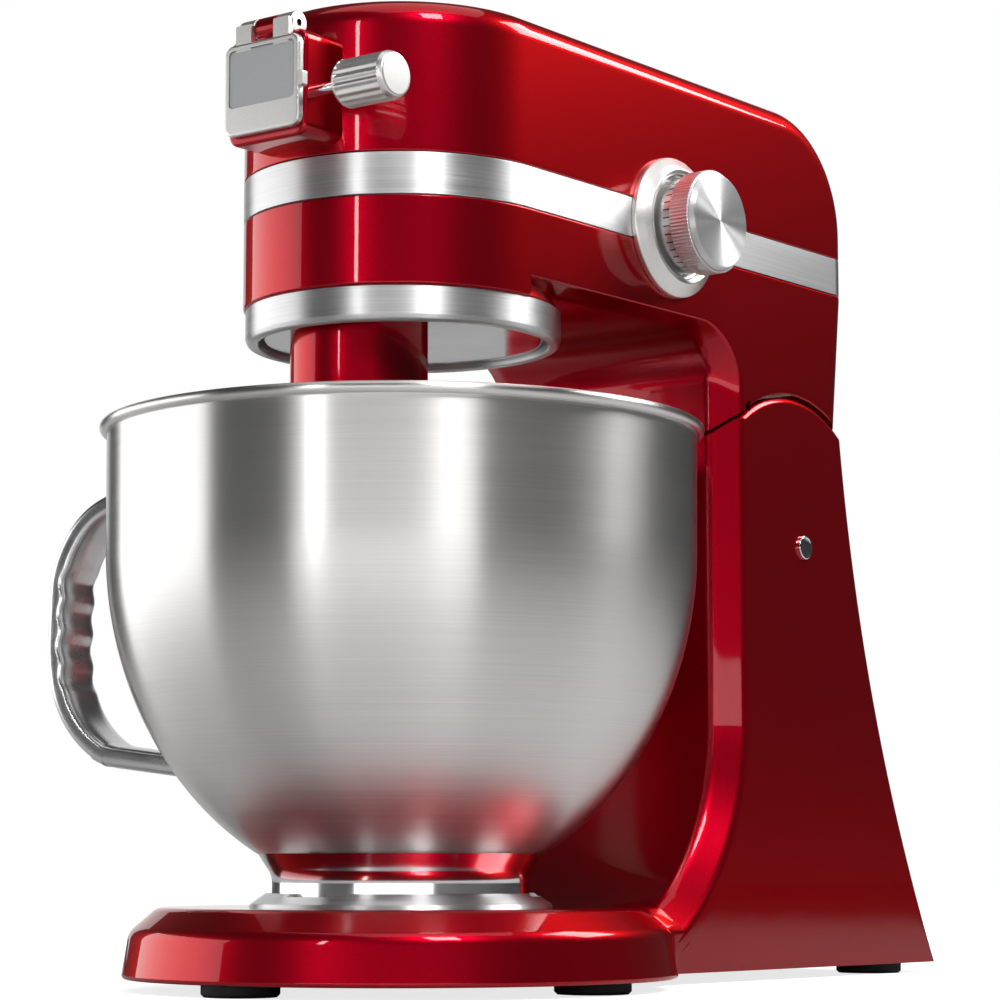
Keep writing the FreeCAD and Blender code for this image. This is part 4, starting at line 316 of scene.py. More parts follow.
def faced_aluminium():
    """Aluminium faced on a lathe: rings about the dial's axis fan its highlight out in rays."""
    material, shader, place = finish(
        "lathe_faced_aluminium", Metallic=1.0, Anisotropic=0.9, Anisotropic_Rotation=0.25
    )
    shift = {"Location": (0, -DIAL[0] * MM, -DIAL[1] * MM)}
    centred = add(material, "ShaderNodeMapping", {"Vector": place}, shift).outputs["Vector"]
    apart = add(material, "ShaderNodeSeparateXYZ", {"Vector": centred}).outputs
    flat = add(material, "ShaderNodeCombineXYZ", {"X": apart["Y"], "Y": apart["Z"]}).outputs["Vector"]
    reach = add(material, "ShaderNodeVectorMath", {0: flat}, operation="LENGTH").outputs["Value"]
    # Tool marks are drawn 0.5 mm apart.
    size = {"Scale": 2000.0, "Detail": 2.0}
    ring = add(material, "ShaderNodeTexNoise", {"W": reach}, size, noise_dimensions="1D").outputs["Fac"]
    return patterned(material, shader, ring, ("#DCDCDD", "#E8E8E9"), (0.45, 0.55), lathe_axis="X")


def satin_nickel():
    """Cast zinc with a satin nickel plate: pale silver, blasted fine so that it shines softly all over."""
    material, shader, place = finish("satin_nickel_plate", Metallic=1.0)
    # Blasting leaves pits near 0.1 mm; they are drawn at 0.4 mm.
    pits = stretched(material, place, (2500, 2500, 2500), 2.0)
    return patterned(material, shader, pits, ("#D4D2CF", "#E2E0DD"), (0.33, 0.43), (0.05, 0.02))


def marked_skirt():
    """Satin aluminium with printed marks near the cap: dark in the first share of every step of the turn."""
    material, shader, place = finish("printed_satin_aluminium", Metallic=1.0, Roughness=0.36)
    lines = stretched(material, place, (2000, 20, 20), 2.0)
    patterned(material, shader, lines, ("#C4C4C4", "#DADADA"))
    metal = shader.inputs["Base Color"].links[0].from_socket
    apart = add(material, "ShaderNodeSeparateXYZ", {"Vector": place}).outputs
    kind = "ShaderNodeMath"
    side = add(material, kind, {0: apart["Y"]}, {1: DIAL[0] * MM}, operation="SUBTRACT").outputs[0]
    rise = add(material, kind, {0: apart["Z"]}, {1: DIAL[1] * MM}, operation="SUBTRACT").outputs[0]
    turn = add(material, kind, {0: rise, 1: side}, operation="ARCTAN2").outputs[0]
    marks_per_radian = DIAL_MARKS / (2 * math.pi)
    count = add(material, kind, {0: turn}, {1: marks_per_radian}, operation="MULTIPLY").outputs[0]
    share = add(material, kind, {0: count}, operation="FRACT").outputs[0]
    tick = add(material, kind, {0: share}, {1: MARK_SHARE}, operation="LESS_THAN").outputs[0]
    high = add(material, kind, {0: apart["X"]}, {1: MARK_START * MM}, operation="GREATER_THAN").outputs[0]
    mark = add(material, kind, {0: tick, 1: high}, operation="MULTIPLY").outputs[0]
    ink = {7: linear("#3A3A3A")}
    colour = add(material, "ShaderNodeMix", {"Factor": mark, 6: metal}, ink, data_type="RGBA").outputs[2]
    material.node_tree.links.new(colour, shader.inputs["Base Color"])
    return material


def moulded(name, low, high, roughness, grain_mm=0.8, sheen=0.5):
    """A moulded or cast surface with an even fine grain."""
    material, shader, place = finish(name, Specular_IOR_Level=sheen)
    waves = 1 / (grain_mm * MM)
    grain = stretched(material, place, (waves, waves, waves), 2.0)
    spread = (roughness - 0.06, roughness + 0.06)
    return patterned(material, shader, grain, (low, high), spread, (0.15, 0.05))


def machined(name, low, high, roughness):
    """A machined metal with a cloud of fine tool marks."""
    material, shader, place = finish(name, Metallic=1.0)
    marks = stretched(material, place, (300, 300, 1500), 3.0)
    return patterned(material, shader, marks, (low, high), (roughness - 0.07, roughness + 0.07))


RED = candy_red_enamel()
STAINLESS = spun_stainless()
POLISHED = polished_steel("polished_steel", 0.07, 0.15)
SATIN = polished_steel("satin_steel", 0.22, 0.3)
BAND = brushed_band()
FACED = faced_aluminium()
NICKEL = satin_nickel()
SKIRT = marked_skirt()
GREY_PANEL = moulded("matt_grey_abs", "#9C9E9F", "#A8AAAB", 0.5, 0.3)
RUBBER = moulded("black_rubber", "#141416", "#1F1F22", 0.75, 0.6, 0.3)
BLACK_ABS = moulded("black_abs", "#17171A", "#222226", 0.5)
BOARD = moulded("green_epoxy_board", "#0F4A2A", "#18603A", 0.4, 2.0)
GEAR_STEEL = machined("machined_steel", "#8E8F92", "#A9AAAD", 0.35)
CAST_IRON = moulded("dark_cast_iron", "#3B3B3E", "#4B4B4E", 0.6, 1.2)
BRONZE = machined("sintered_bronze", "#A0722C", "#B98A42", 0.42)

NODE_FINISH = {
    "polished_steel": POLISHED,
    "satin_stainless": STAINLESS,
    "red_paint": RED,
    "brushed_trim": BAND,
    "turned_aluminium": NICKEL,
    "printed_aluminium": SKIRT,
    "flap_grey": GREY_PANEL,
    "black_rubber": RUBBER,
    "black_plastic": BLACK_ABS,
    "board_green": BOARD,
    "gear_steel": GEAR_STEEL,
    "structure_steel": CAST_IRON,
    "bronze": BRONZE,
}
SLOT_OF = {material.name: slot for slot, material in NODE_FINISH.items()}
SLOT_OF[FACED.name] = "turned_aluminium"
SLOT_OF[SATIN.name] = "polished_steel"


def dress_nodes():
    """Gives every CAD node the material that its slot stands for."""
    slots = {part["node"]: part["material_slot"] for part in frame["record"]["subparts"]}
    for name, node in frame["nodes"].items():
        node.data.materials.clear()
        node.data.materials.append(NODE_FINISH[slots[name]])


def base_rows(offsets, heights):
    """The base in plan, drawn in by an offset at each height: round front, waist fillets, straight sides.

    A fillet's centre lies its own radius outside the side. Its distance along Y is the square root of
    (front radius plus fillet radius) squared, less its own X squared."""
    rows = []
    for offset, height in zip(offsets, heights):
        drawn_in = max(offset, 0)
        radius, width, fillet = CREASE_RADIUS - offset, HALF_WIDTH - drawn_in, WAIST_FILLET + drawn_in
        centre_x = width + fillet
        centre_y = math.sqrt((radius + fillet) ** 2 - centre_x**2)
        meet = math.degrees(math.atan2(centre_y, centre_x))
        front = arc((0, 0), radius, -90, meet, 90)
        waist = arc((centre_x, centre_y), fillet, 180 + meet, 180, 24)
        inside = width - SIDE_INSET
        side = np.array([[inside, centre_y + SIDE_START], [inside, TAIL_FOOT_Y - SIDE_STOP]])
        half = np.concatenate([front, waist[1:], side])
        whole = np.concatenate([(half * (-1, 1))[:0:-1], half])
        rows.append(np.column_stack([whole, np.full(len(whole), height)]))
    return np.array(rows)


def column_path(front_offset, inset):
    """The column from the side: front sweep, hump over the hinge, bowed tail, and a lip under the foot.

    The tail leaves its chord by four times the bow, times the share of the way, times the share left."""
    radius = SWEEP_RADIUS - front_offset
    hump = HUMP_RADIUS - inset
    start = math.degrees(math.asin((SWEEP_HEIGHT - FOOT_HEIGHT - SWEEP_START) / radius))
    sweep = arc((SWEEP_Y, SWEEP_HEIGHT), radius, -start, 0, 40)
    front_y, tail_y = SWEEP_Y + radius, TAIL_TOP_Y - inset
    first = math.degrees(math.acos((front_y - HINGE_Y) / hump))
    last = math.degrees(math.acos((tail_y - HINGE_Y) / hump))
    crown = arc((HINGE_Y, HINGE_HEIGHT), hump, first, last, 48)
    top, foot = crown[-1], np.array([TAIL_FOOT_Y - inset, FOOT_HEIGHT])
    share = np.linspace(0, 1, 60)[1:, None]
    chord = foot - top
    lean = np.array([chord[1], -chord[0]]) / np.linalg.norm(chord)
    tail = top + chord * share + lean * TAIL_BOW * 4 * share * (1 - share)
    lip_y = foot[0] - TAIL_LIP
    lip = np.array([[lip_y, FOOT_HEIGHT], [lip_y, FOOT_HEIGHT + TAIL_LIP]])
    return np.concatenate([sweep, crown, tail, lip])


def front_bevel(x, start=5.0, end=6.0):
    """How far the front stands forward at a distance from the middle: an eased bevel of 45 degrees."""
    x = np.abs(x)
    reach, flat = start * math.tan(math.pi / 8), end * math.tan(math.pi / 8)
    inner = HALF_WIDTH - BEVEL
    outer_arc = -reach + np.sqrt(np.maximum(start**2 - (x - HALF_WIDTH + start) ** 2, 0))
    inner_arc = BEVEL - end + np.sqrt(np.maximum(end**2 - (x - inner + flat) ** 2, 0))
    slope = HALF_WIDTH - x
    out = np.where(x > HALF_WIDTH - reach * math.sqrt(0.5), outer_arc, slope)
    out = np.where(x < inner + flat * math.sqrt(0.5), inner_arc, out)
    return np.where(x < inner - flat, BEVEL, out)


def edge_inset(x, radius):
    """How far an edge is drawn in at a distance from the middle: a quarter round of a radius at the flank."""
    over = np.maximum(np.abs(x) - (HALF_WIDTH - radius), 0)
    return radius - np.sqrt(np.maximum(radius**2 - over**2, 0))


def flank_stations(radius):
    """Stations across the width, close together at the rounded edges and the bevels."""
    edge = HALF_WIDTH - radius * (1 - np.cos(np.radians(np.linspace(0, 90, 12))))
    bevel = np.linspace(HALF_WIDTH - radius, BEVEL_INSIDE, 16)[1:]
    half = np.concatenate([edge, bevel, [30, 15]])
    return np.concatenate([half, [0], -half[::-1]])


def across_width(stations, outlines):
    """Side outlines set across the width: each station gives its X to one outline of (Y, Z) points."""
    rows = [np.column_stack([np.full(len(line), x), line]) for x, line in zip(stations, outlines)]
    return np.array(rows)


def closed_flanks(sheet, inner, corner):
    """The two flat sides of a sheet that is laid across the width.

    A strip joins the sheet's edge to an inner outline, and a polygon closes that outline at a corner."""
    sides = across_width((HALF_WIDTH, -HALF_WIDTH), (inner, inner))
    strips = [np.stack([edge, side]) for edge, side in zip((sheet[0], sheet[-1]), sides)]
    caps = [np.concatenate([side, [(side[0, 0], *corner)]]) for side in sides]
    return strips, caps


def make_stand():
    """The base and column castings as one red skin."""
    skirt, deck = CREASE_RADIUS - SKIRT_RADIUS, CREASE_RADIUS - DECK_RADIUS
    profile = [
        (FOOT_LIP, FOOT_LIP_TOP),
        (FOOT_LIP, FOOT_HEIGHT),
        (skirt, FOOT_HEIGHT),
        (0, CREASE_HEIGHT),
        (deck, DECK_HEIGHT),
        (DECK_INSET, DECK_HEIGHT),
    ]
    base = base_rows(*rounded(profile, (0, 1.5, 7, 6), 9).T)
    stations = flank_stations(FLANK_ROUND)
    offsets = zip(front_bevel(stations), edge_inset(stations, FLANK_ROUND))
    column = across_width(stations, [column_path(*offset) for offset in offsets])
    # The flanks leave out the lip under the foot, and close at a corner that lies inside the base's waist.
    inner = column_path(*STAND_FLANK)[:-2]
    strips, caps = closed_flanks(column[:, :-2], inner, (FLANK_CORNER_Y, FOOT_HEIGHT))
    skin("stand_casting", "stand", RED, [base, column, *strips], [base[-1], *caps], ["base_casting"])


def bowl_wall(radius, drop, start, end, steps):
    """A quarter ellipse below the shoulder: radius times the sine, and drop times the cosine below it."""
    sweep = np.linspace(start, end, steps)
    return np.column_stack([radius * np.sin(sweep), BOWL_SHOULDER - drop * np.cos(sweep)])


def make_bowl():
    """The spun bowl: flat floor, quarter ellipse, straight wall and rolled bead, then the same inside."""
    level = math.pi / 2
    outer = bowl_wall(BOWL_RADIUS, BOWL_DROP, math.asin(BOWL_BASE / BOWL_RADIUS), level, 70)
    base = outer[0, 1]
    bead = arc((BOWL_RADIUS + BOWL_BEAD / 2, BOWL_RIM - BOWL_BEAD), BOWL_BEAD, -110, 180, 22)
    inner_drop, floor = BOWL_DROP - BOWL_WALL, base + BOWL_WALL
    inner_end = math.acos((BOWL_SHOULDER - floor) / inner_drop)
    inner = bowl_wall(BOWL_RADIUS - BOWL_WALL, inner_drop, level, inner_end, 60)
    under = [(0, base), (BOWL_BASE - 3, base)]
    profile = np.concatenate([under, outer, bead, inner, [(0, floor)]])
    skin("bowl", "bowl", STAINLESS, [spun(profile, 240)], nodes=["bowl_shell"])
    foot = [
        (FOOT_RING_BORE, base),
        (FOOT_RING_BORE, FOOT_RING_LOW),
        (FOOT_RING + 1.2, FOOT_RING_LOW),
        (FOOT_RING, 34),
        (FOOT_RING, 42),
        (53.7, base),
    ]
    ring = spun(rounded(foot, (1, 0.8, 1, 9), 10), 200)
    skin("bowl_foot_ring", "bowl", POLISHED, [ring], nodes=["bowl_foot"])


def power(wave):
    """A sine or cosine raised to the squareness of the handle's section, with its sign kept."""
    return np.sign(wave) * np.abs(wave) ** HANDLE_SQUARENESS


def make_handle():
    """The bowl's handle: a flat oval bar carried along a D, its inner face waved for the fingers.

    The section is a superellipse, set square to the path: half width times a power of the cosine, by half
    depth times the same power of the sine."""
    path = rounded(HANDLE_PATH, HANDLE_BENDS, 24)
    legs = np.linalg.norm(np.diff(path, axis=0), axis=1)
    length = np.concatenate([[0], np.cumsum(legs)])
    even = np.linspace(0, length[-1], 220)
    line = np.column_stack([np.interp(even, length, path[:, i]) for i in (0, 1)])
    ahead = np.gradient(line, axis=0)
    ahead /= np.linalg.norm(ahead, axis=1)[:, None]
    outward = np.column_stack([-ahead[:, 1], ahead[:, 0]])
    outward *= np.sign(outward[len(line) // 2, 0])
    turn = np.linspace(0, 2 * math.pi, 49)
    across = HANDLE_HALF_WIDTH * power(np.cos(turn))
    depth = HANDLE_HALF_DEPTH * power(np.sin(turn))
    grip = (line[:, 1] - GRIP_LOW) / GRIP_LENGTH
    ripple = GRIP_WAVE * np.sin(grip * GRIP_FINGERS * math.pi) ** 2
    wave = np.where((grip > 0) & (grip < 1), ripple, 0)
    thick = depth[None, :] + np.where(depth < 0, 1, 0)[None, :] * wave[:, None]
    reach = line[:, :1] + outward[:, :1] * thick
    height = line[:, 1:] + outward[:, 1:] * thick
    # Both ends are trimmed to the middle of the bowl's wall.
    fall = np.clip((BOWL_SHOULDER - height) / BOWL_DROP, 0, 1)
    wall = (BOWL_RADIUS - BOWL_WALL / 2) * np.sqrt(1 - fall**2)
    reach = np.maximum(reach, np.sqrt(wall**2 - across**2))
    heading = math.radians(HANDLE_HEADING)
    x = reach * math.cos(heading) - across * math.sin(heading)
    y = reach * math.sin(heading) + across * math.cos(heading)
    bar = np.stack([x, y, height], axis=-1)
    skin("handle_bar", "bowl", SATIN, [bar], ends(bar), ["bowl_handle"])


def plan_loop(inset, height, nose_steps=97):
    """The head in plan, drawn in by an inset: half round nose, straight sides, round corners at the back."""
    width, rear = HALF_WIDTH - inset, HEAD_REAR - inset
    corner = EDGE_ROUND - inset
    nose = arc((0, 0), width, *NOSE_SPAN, nose_steps)
    right = arc((width - corner, rear - corner), corner, 0, 90, 12)
    left = arc((corner - width, rear - corner), corner, 90, 180, 12)
    loop = np.concatenate([nose, right, left, nose[:1]])
    return np.column_stack([loop, np.full(len(loop), height)])


def rim_rows(edge, side):
    """A parting edge round the head: a small quarter round outside that runs inwards behind the band."""
    swing = np.radians(np.linspace(0, 90, 5))
    insets = np.concatenate([[0.0], RIM_ROUND * (1 - np.cos(swing)), [RIM_INSET]])
    heights = edge - side * np.concatenate([[RIM_DEPTH], RIM_ROUND * (1 - np.sin(swing)), [0.0]])
    return np.array([plan_loop(inset, height) for inset, height in zip(insets, heights)])


def cover_path(inset):
    """The cover from the side, from its middle over the top and the round crown down to the band."""
    top, rear, crown = HEAD_TOP - inset, HEAD_REAR - inset, CROWN_RADIUS - inset
    centre = (HEAD_REAR - CROWN_RADIUS, HEAD_TOP - CROWN_RADIUS)
    bend = arc(centre, crown, 90, 0, 48)
    return np.concatenate([[(0, top)], bend, [(rear, BAND_HIGH + BAND_GAP + RIM_DEPTH)]])


def make_cover():
    """The head's top cover: a round-edged top over a half round nose, parted from the band by a fine gap."""
    low = BAND_HIGH + BAND_GAP
    half = HALF_WIDTH - EDGE_ROUND + EDGE_ROUND * np.cos(np.radians(np.linspace(0, 90, 14)))
    middle = np.array([34.0, 17.0])
    stations = np.concatenate([half, middle, [0], -middle[::-1], -half[::-1]])
    top = across_width(stations, [cover_path(inset) for inset in edge_inset(stations, EDGE_ROUND)])
    strips, caps = closed_flanks(top, cover_path(EDGE_ROUND + FLANK_LAP), (0, low + RIM_DEPTH))
    wall = [(HALF_WIDTH, low + RIM_DEPTH), (HALF_WIDTH, HEAD_TOP - EDGE_ROUND - FLANK_LAP)]
    edge = np.column_stack([half, HEAD_TOP - edge_inset(half, EDGE_ROUND)])
    profile = np.concatenate([wall, edge, [(radius, HEAD_TOP) for radius in (*middle, 0)]])
    nose = spun(profile, NOSE_COLUMNS, span=NOSE_SPAN)
    rim = rim_rows(low, -1)
    skin("head_cover_skin", "head", RED, [top, *strips, nose, rim], caps, ["head_cover"])


def casting_path(front_offset, inset):
    """The lower casting from the side: underside, neck, hollow over the hump, and the back up to the band."""
    under = UNDER_HEIGHT - LIP_DROP * front_offset / BEVEL
    neck, corner = SWEEP_Y + SWEEP_RADIUS - front_offset, NECK_CORNER - front_offset
    hollow = HUMP_RADIUS + SEAM_GAP + max(inset - HOLLOW_START, 0) * HOLLOW_SLOPE
    bend = arc((neck - corner, under - corner), corner, 90, 0, 30)
    tail, rear = TAIL_TOP_Y - inset, HEAD_REAR - inset
    first = math.degrees(math.acos((neck - HINGE_Y) / hollow))
    last = math.degrees(math.acos((tail - HINGE_Y) / hollow))
    seam = arc((HINGE_Y, HINGE_HEIGHT), hollow, first, last, 48)
    back = [(rear - BACK_INSET, BAND_LOW - BAND_GAP - RIM_DEPTH)]
    return np.concatenate([[(0, under)], bend, seam, back])


def make_lower_head():
    """The head's lower casting: bevelled underside, neck and back, with the nose drum and its collar."""
    high = BAND_LOW - BAND_GAP
    stations = flank_stations(EDGE_ROUND)
    offsets = zip(front_bevel(stations, 4.0, 6.0), edge_inset(stations, EDGE_ROUND))
    body = across_width(stations, [casting_path(*offset) for offset in offsets])
    # The underside is open over the planetary drive, which turns inside the collar.
    body[:, 0, 1] = np.sqrt(np.maximum(COLLAR_BORE**2 - stations**2, 0))
    strips, caps = closed_flanks(body, casting_path(*HEAD_FLANK), (0, high - RIM_DEPTH))
    drum = [(COLLAR_BORE, NOSE_LOW), (HALF_WIDTH, NOSE_LOW), (HALF_WIDTH, high - RIM_DEPTH)]
    nose = spun(rounded(drum, (1.2,), 6), NOSE_COLUMNS, span=NOSE_SPAN)
    rim = rim_rows(high, 1)
    skin("head_lower_skin", "head", RED, [body, *strips, nose, rim], caps, ["head_casting"])
    collar = [(COLLAR_BORE, NOSE_LOW), (COLLAR_LOW, NOSE_LOW), (COLLAR_HIGH, UNDER_HEIGHT + 2)]
    collar = spun(rounded(collar, (1.2,), 6), 160)
    skin("head_collar", "head", RED, [collar], nodes=["head_casting"])


def make_band():
    """The brushed band round the head: the head's plan carried up a flat strip whose two edges are eased."""
    eased = [(1.4, 0.0), (0.35, 0.0), (0.1, 0.1), (0.0, 0.35)]
    rows = [(inset, BAND_LOW + lift) for inset, lift in eased]
    rows += [(inset, BAND_HIGH - lift) for inset, lift in eased[::-1]]
    strip = np.array([plan_loop(inset, height, 193) for inset, height in rows])
    skin("head_band", "head", BAND, [strip], nodes=["trim_band"])


def make_nose():
    """The brushed ring under the nose, the planet disc inside it and the tool boss below the disc."""
    ring = [
        (RING_BORE, NOSE_LOW),
        (RING_BORE, RING_LOW),
        (59.6, RING_LOW - 0.2),
        (RING_RADIUS, 245.4),
        (RING_RADIUS, NOSE_LOW),
        (RING_BORE, NOSE_LOW),
    ]
    ring = spun(rounded(ring, (0.7, 1.6, 1.2, 0.3), 8), 200)
    skin("nose_ring_band", "head", BAND, [ring], nodes=["nose_ring"])
    disc = [
        (SHAFT_BORE, DISC_HIGH),
        (DISC_RADIUS, DISC_HIGH),
        (DISC_RADIUS, DISC_LOW),
        (SHAFT_BORE, DISC_LOW),
    ]
    disc = spun(rounded(disc, (0.5, 1.5), 7), 160)
    skin("planet_disc", "planetary", POLISHED, [disc], nodes=["planet_carrier"])
    # The boss runs a little way up into the disc.
    boss = [
        (BOSS_RADIUS, DISC_LOW + 0.2),
        (BOSS_RADIUS, BOSS_LOW),
        (TOOL_BORE, BOSS_LOW),
        (TOOL_BORE, DISC_LOW + 1),
    ]
    boss = spun(rounded(boss, (2.0, 0.6), 8), 120, (0, -THROW))
    skin("tool_boss", "planetary", RED, [boss], nodes=["planet_carrier"])


def make_dial():
    """The speed dial: dished flange, printed skirt, knurled ring and faced cap, all spun about X.

    The profiles are (radius, distance along X). The ring's ridges are a cosine wave cut into its face."""
    flange = [(4.1, 61.6), (28, 61.6), (28, 63.6), (24.8, 66.4), (22.8, 68.0)]
    flange += [(21, 67.6), (21, 64.4), (4.1, 64.4)]
    flange = rounded(flange, (0.2, 1.2, 2.5, 0.8, 0.4, 0.5), 7)
    skin("dial_dish", "head", NICKEL, [spun(flange, 160, DIAL, "X")], nodes=["dial_flange"])
    skirt = [(0, 48), (4, 48), (4, 64.85), (18.9, 64.85), (18.9, 74.0), (0, 74.0)]
    skirt = rounded(skirt, (0.3, 0.3, 0.4, 0.3), 5)
    skin("dial_scale", "dial", SKIRT, [spun(skirt, 160, DIAL, "X")], nodes=["dial_skirt"])
    side = rounded([(18.6, 74.0), (20.45, 74.0), (20.45, 82.7), (18.6, 82.7)], (0.5, 0.5), 5)
    cut = (side[:, :1] > RIDGE_INSIDE) * flutes(720, DIAL_RIDGES, RIDGE_DEPTH)
    ring = spun(side, 720, DIAL, "X", cut=cut)
    skin("dial_knurled_ring", "dial", BAND, [ring], nodes=["dial_knurl"], crease=60)
    cap = [(0, 74.2), (15, 74.2), (15, 82.6), (19.6, 82.6), (18.4, 85.0), (0, 84.8)]
    cap = rounded(cap, (0.2, 0.2, 0.5, 0.9), 6)
    skin("dial_face", "dial", FACED, [spun(cap, 160, DIAL, "X")], nodes=["dial_cap"])


def make_clamp():
    """The clamp knob: a barrel spun about X with a cosine wave of flutes along it, and a rounded end."""
    side = [(2.3, 33.0), (8.2, 33.0), (9.0, 34.5), (9.0, 54.5), (8.0, 57.0), (0, 56.6)]
    side = rounded(side, (0.4, 0.8, 1.0, 1.2), 6)
    radius, along = side[:, :1], side[:, 1:]
    fluted = (along > FLUTE_START) & (along < FLUTE_END) | (radius > FLUTE_INSIDE)
    barrel = spun(side, 540, CLAMP, "X", cut=fluted * flutes(540, CLAMP_FLUTES, FLUTE_DEPTH))
    skin("clamp_barrel", "clamp", NICKEL, [barrel], nodes=["clamp_knob"], crease=50)


def plate_loop(half, low, high, corner, depth):
    """A rounded rectangle in the X-Z plane at one depth."""
    bends = [
        arc((half - corner, low + corner), corner, -90, 0, 9),
        arc((half - corner, high - corner), corner, 0, 90, 9),
        arc((corner - half, high - corner), corner, 90, 180, 9),
        arc((corner - half, low + corner), corner, 180, 270, 9),
    ]
    loop = np.concatenate(bends + [bends[0][:1]])
    return np.column_stack([loop[:, 0], np.full(len(loop), depth), loop[:, 1]])


def plate_rows(outline, profile, corner_share=1.0):
    """A plate's edge: its outline drawn in by the inset of each (inset, depth) point of a profile."""
    half, low, high, corner = outline
    rows = []
    for inset, depth in profile:
        round_left = max(corner - inset * corner_share, 0.05)
        rows.append(plate_loop(half - inset, low + inset, high - inset, round_left, depth))
    return np.array(rows)


def knuckle(start, end):
    """A roll about the flap's pin, from one place along X to another, with eased ends."""
    roll = [(0, start), (KNUCKLE_RADIUS, start), (KNUCKLE_RADIUS, end), (0, end)]
    return spun(rounded(roll, (KNUCKLE_ROUND, KNUCKLE_ROUND), 4), 48, FLAP_PIN, "X")


def make_hub():
    """The hub's red housing: an eased block with a round bore, and a lug for the flap's pin.

    The face runs from the sides of a rectangle, found along a ray at each angle, in to the bore."""
    profile = rounded([(0, HUB_BACK), (0, HUB_FACE), (HUB_FACE_INSET, HUB_FACE)], (1.5,), 6)
    outline = plate_rows(HUB_OUTLINE, profile)
    turn = np.linspace(0, 2 * math.pi, 97)
    across, up = np.cos(turn), np.sin(turn)
    edge_x, edge_z = outline[-1, :, 0], outline[-1, :, 2]
    sides = edge_x.max() / np.maximum(np.abs(across), LEAST_SHARE)
    tops = np.where(up > 0, edge_z.max() - HUB_AXIS, HUB_AXIS - edge_z.min())
    reach = np.minimum(sides, tops / np.maximum(np.abs(up), LEAST_SHARE))
    steps = ((reach, HUB_FACE), (HUB_BORE, HUB_FACE), (HUB_BORE, HUB_FLOOR), (HUB_SOCKET, HUB_FLOOR))
    bore = [np.column_stack([r * across, np.full(len(turn), depth), HUB_AXIS + r * up]) for r, depth in steps]
    lug = knuckle(-LUG_HALF, LUG_HALF)
    web = np.array([plate_loop(LUG_HALF, WEB_LOW, FLAP_PIN[1], 0.5, depth) for depth in WEB_DEPTHS])
    skin("hub_block", "head", RED, [outline, np.array(bore), lug, web], ends(web), ["hub_housing"])


def make_flap():
    """The hub's flap: a silver frame with a sunk grey panel, two knuckles on straps and a nub at its side."""
    profile = [(2, FLAP_BACK), (0, FLAP_BACK), (0, FLAP_FRONT), (1.2, FLAP_FRONT)]
    edge = plate_rows(FLAP_OUTLINE, rounded(profile, (0.4, 0.9), 6))
    sunk = FLAP_FRONT + SINK_DEPTH
    shell = np.concatenate([edge, plate_rows(SINK_OUTLINE, ((0, FLAP_FRONT), (0, sunk)))])
    arms, lids = [], []
    for start, end in ((STRAP_START, STRAP_END), (-STRAP_END, -STRAP_START)):
        outline = ((end - start) / 2, STRAP_LOW, STRAP_HIGH, 0.6)
        strap = plate_rows(outline, ((0, FLAP_FRONT + 0.3), (0, FLAP_BACK))) + ((start + end) / 2, 0, 0)
        arms += [knuckle(start, end), strap]
        lids += ends(strap)
    nub = plate_rows(NUB_OUTLINE, ((0, FLAP_FRONT), (0, FLAP_BACK))) + (NUB_X, 0, 0)
    lids += [*ends(shell), *ends(nub)]
    skin("flap_frame", "hub_cover", NICKEL, [shell, nub, *arms], lids, ["hub_flap"])
    face = FLAP_FRONT + PANEL_DEPTH
    profile = rounded([(0, sunk), (0, face), (1.0, face)], (0.3,), 4)
    panel = plate_rows(PANEL_OUTLINE, profile, 0.5)
    skin("flap_inlay", "hub_cover", GREY_PANEL, [panel], ends(panel), ["flap_panel"])


def make_button():
    """The release button: a round head on its stem, dished by a parabola."""
    rings = np.linspace(BUTTON_RIM, 0, 8)[1:]
    dish = np.column_stack([rings, BUTTON_FACE - BUTTON_DISH * (1 - (rings / BUTTON_RIM) ** 2)])
    head = [(0, 41.5), (2.5, 41.5), (2.5, 56.6), (4.95, 56.6), (4.95, 63.1), (BUTTON_RIM, BUTTON_FACE)]
    profile = np.concatenate([rounded(head, (0.2, 0.1, 0.2, 0.5), 5), dish])
    cap = spun(profile, 64, BUTTON, "X")
    skin("button_cap", "release", POLISHED, [cap], nodes=["release_button"])


# The floor's reach in metres, the grey that lights the object all round, and the white's share in metal.
FLOOR_REACH, DIM_GREY, MIRRORED_SHARE = 6, (0.03, 0.03, 0.031, 1), 0.02


def make_stage():
    """A white paper floor that keeps the object's shadow and is shown lighter to the camera."""
    reach = FLOOR_REACH
    points = [(-reach, -reach, 0), (reach, -reach, 0), (reach, reach, 0), (-reach, reach, 0)]
    mesh = bpy.data.meshes.new("floor")
    mesh.from_pydata(points, [], [(0, 1, 2, 3)])
    floor = bpy.data.objects.new("floor", mesh)
    bpy.context.scene.collection.objects.link(floor)
    material, shader, place = finish("white_paper", Roughness=0.6)
    grain = stretched(material, place, (400, 400, 400), 2.0)
    patterned(material, shader, grain, ("#C6C6C6", "#CECECE"))
    # Away from the object the paper is shown lighter, so that it meets the white surround with no edge.
    far = add(material, "ShaderNodeVectorMath", {0: place}, operation="LENGTH").outputs["Value"]
    limits = {"From Min": 0.3, "From Max": 1.1, "To Min": 0.78, "To Max": 1.0}
    level = add(material, "ShaderNodeMapRange", {"Value": far}, limits).outputs["Result"]
    glow = add(material, "ShaderNodeEmission", {"Strength": level}, {"Color": (1, 1, 1, 1)})
    lit = add(material, "ShaderNodeAddShader", {0: shader.outputs[0], 1: glow.outputs[0]}).outputs[0]
    seen = add(material, "ShaderNodeLightPath").outputs["Is Camera Ray"]
    both = add(material, "ShaderNodeMixShader", {"Fac": seen, 1: shader.outputs[0], 2: lit})
    surface = material.node_tree.nodes["Material Output"].inputs["Surface"]
    material.node_tree.links.new(both.outputs[0], surface)
    mesh.materials.append(material)


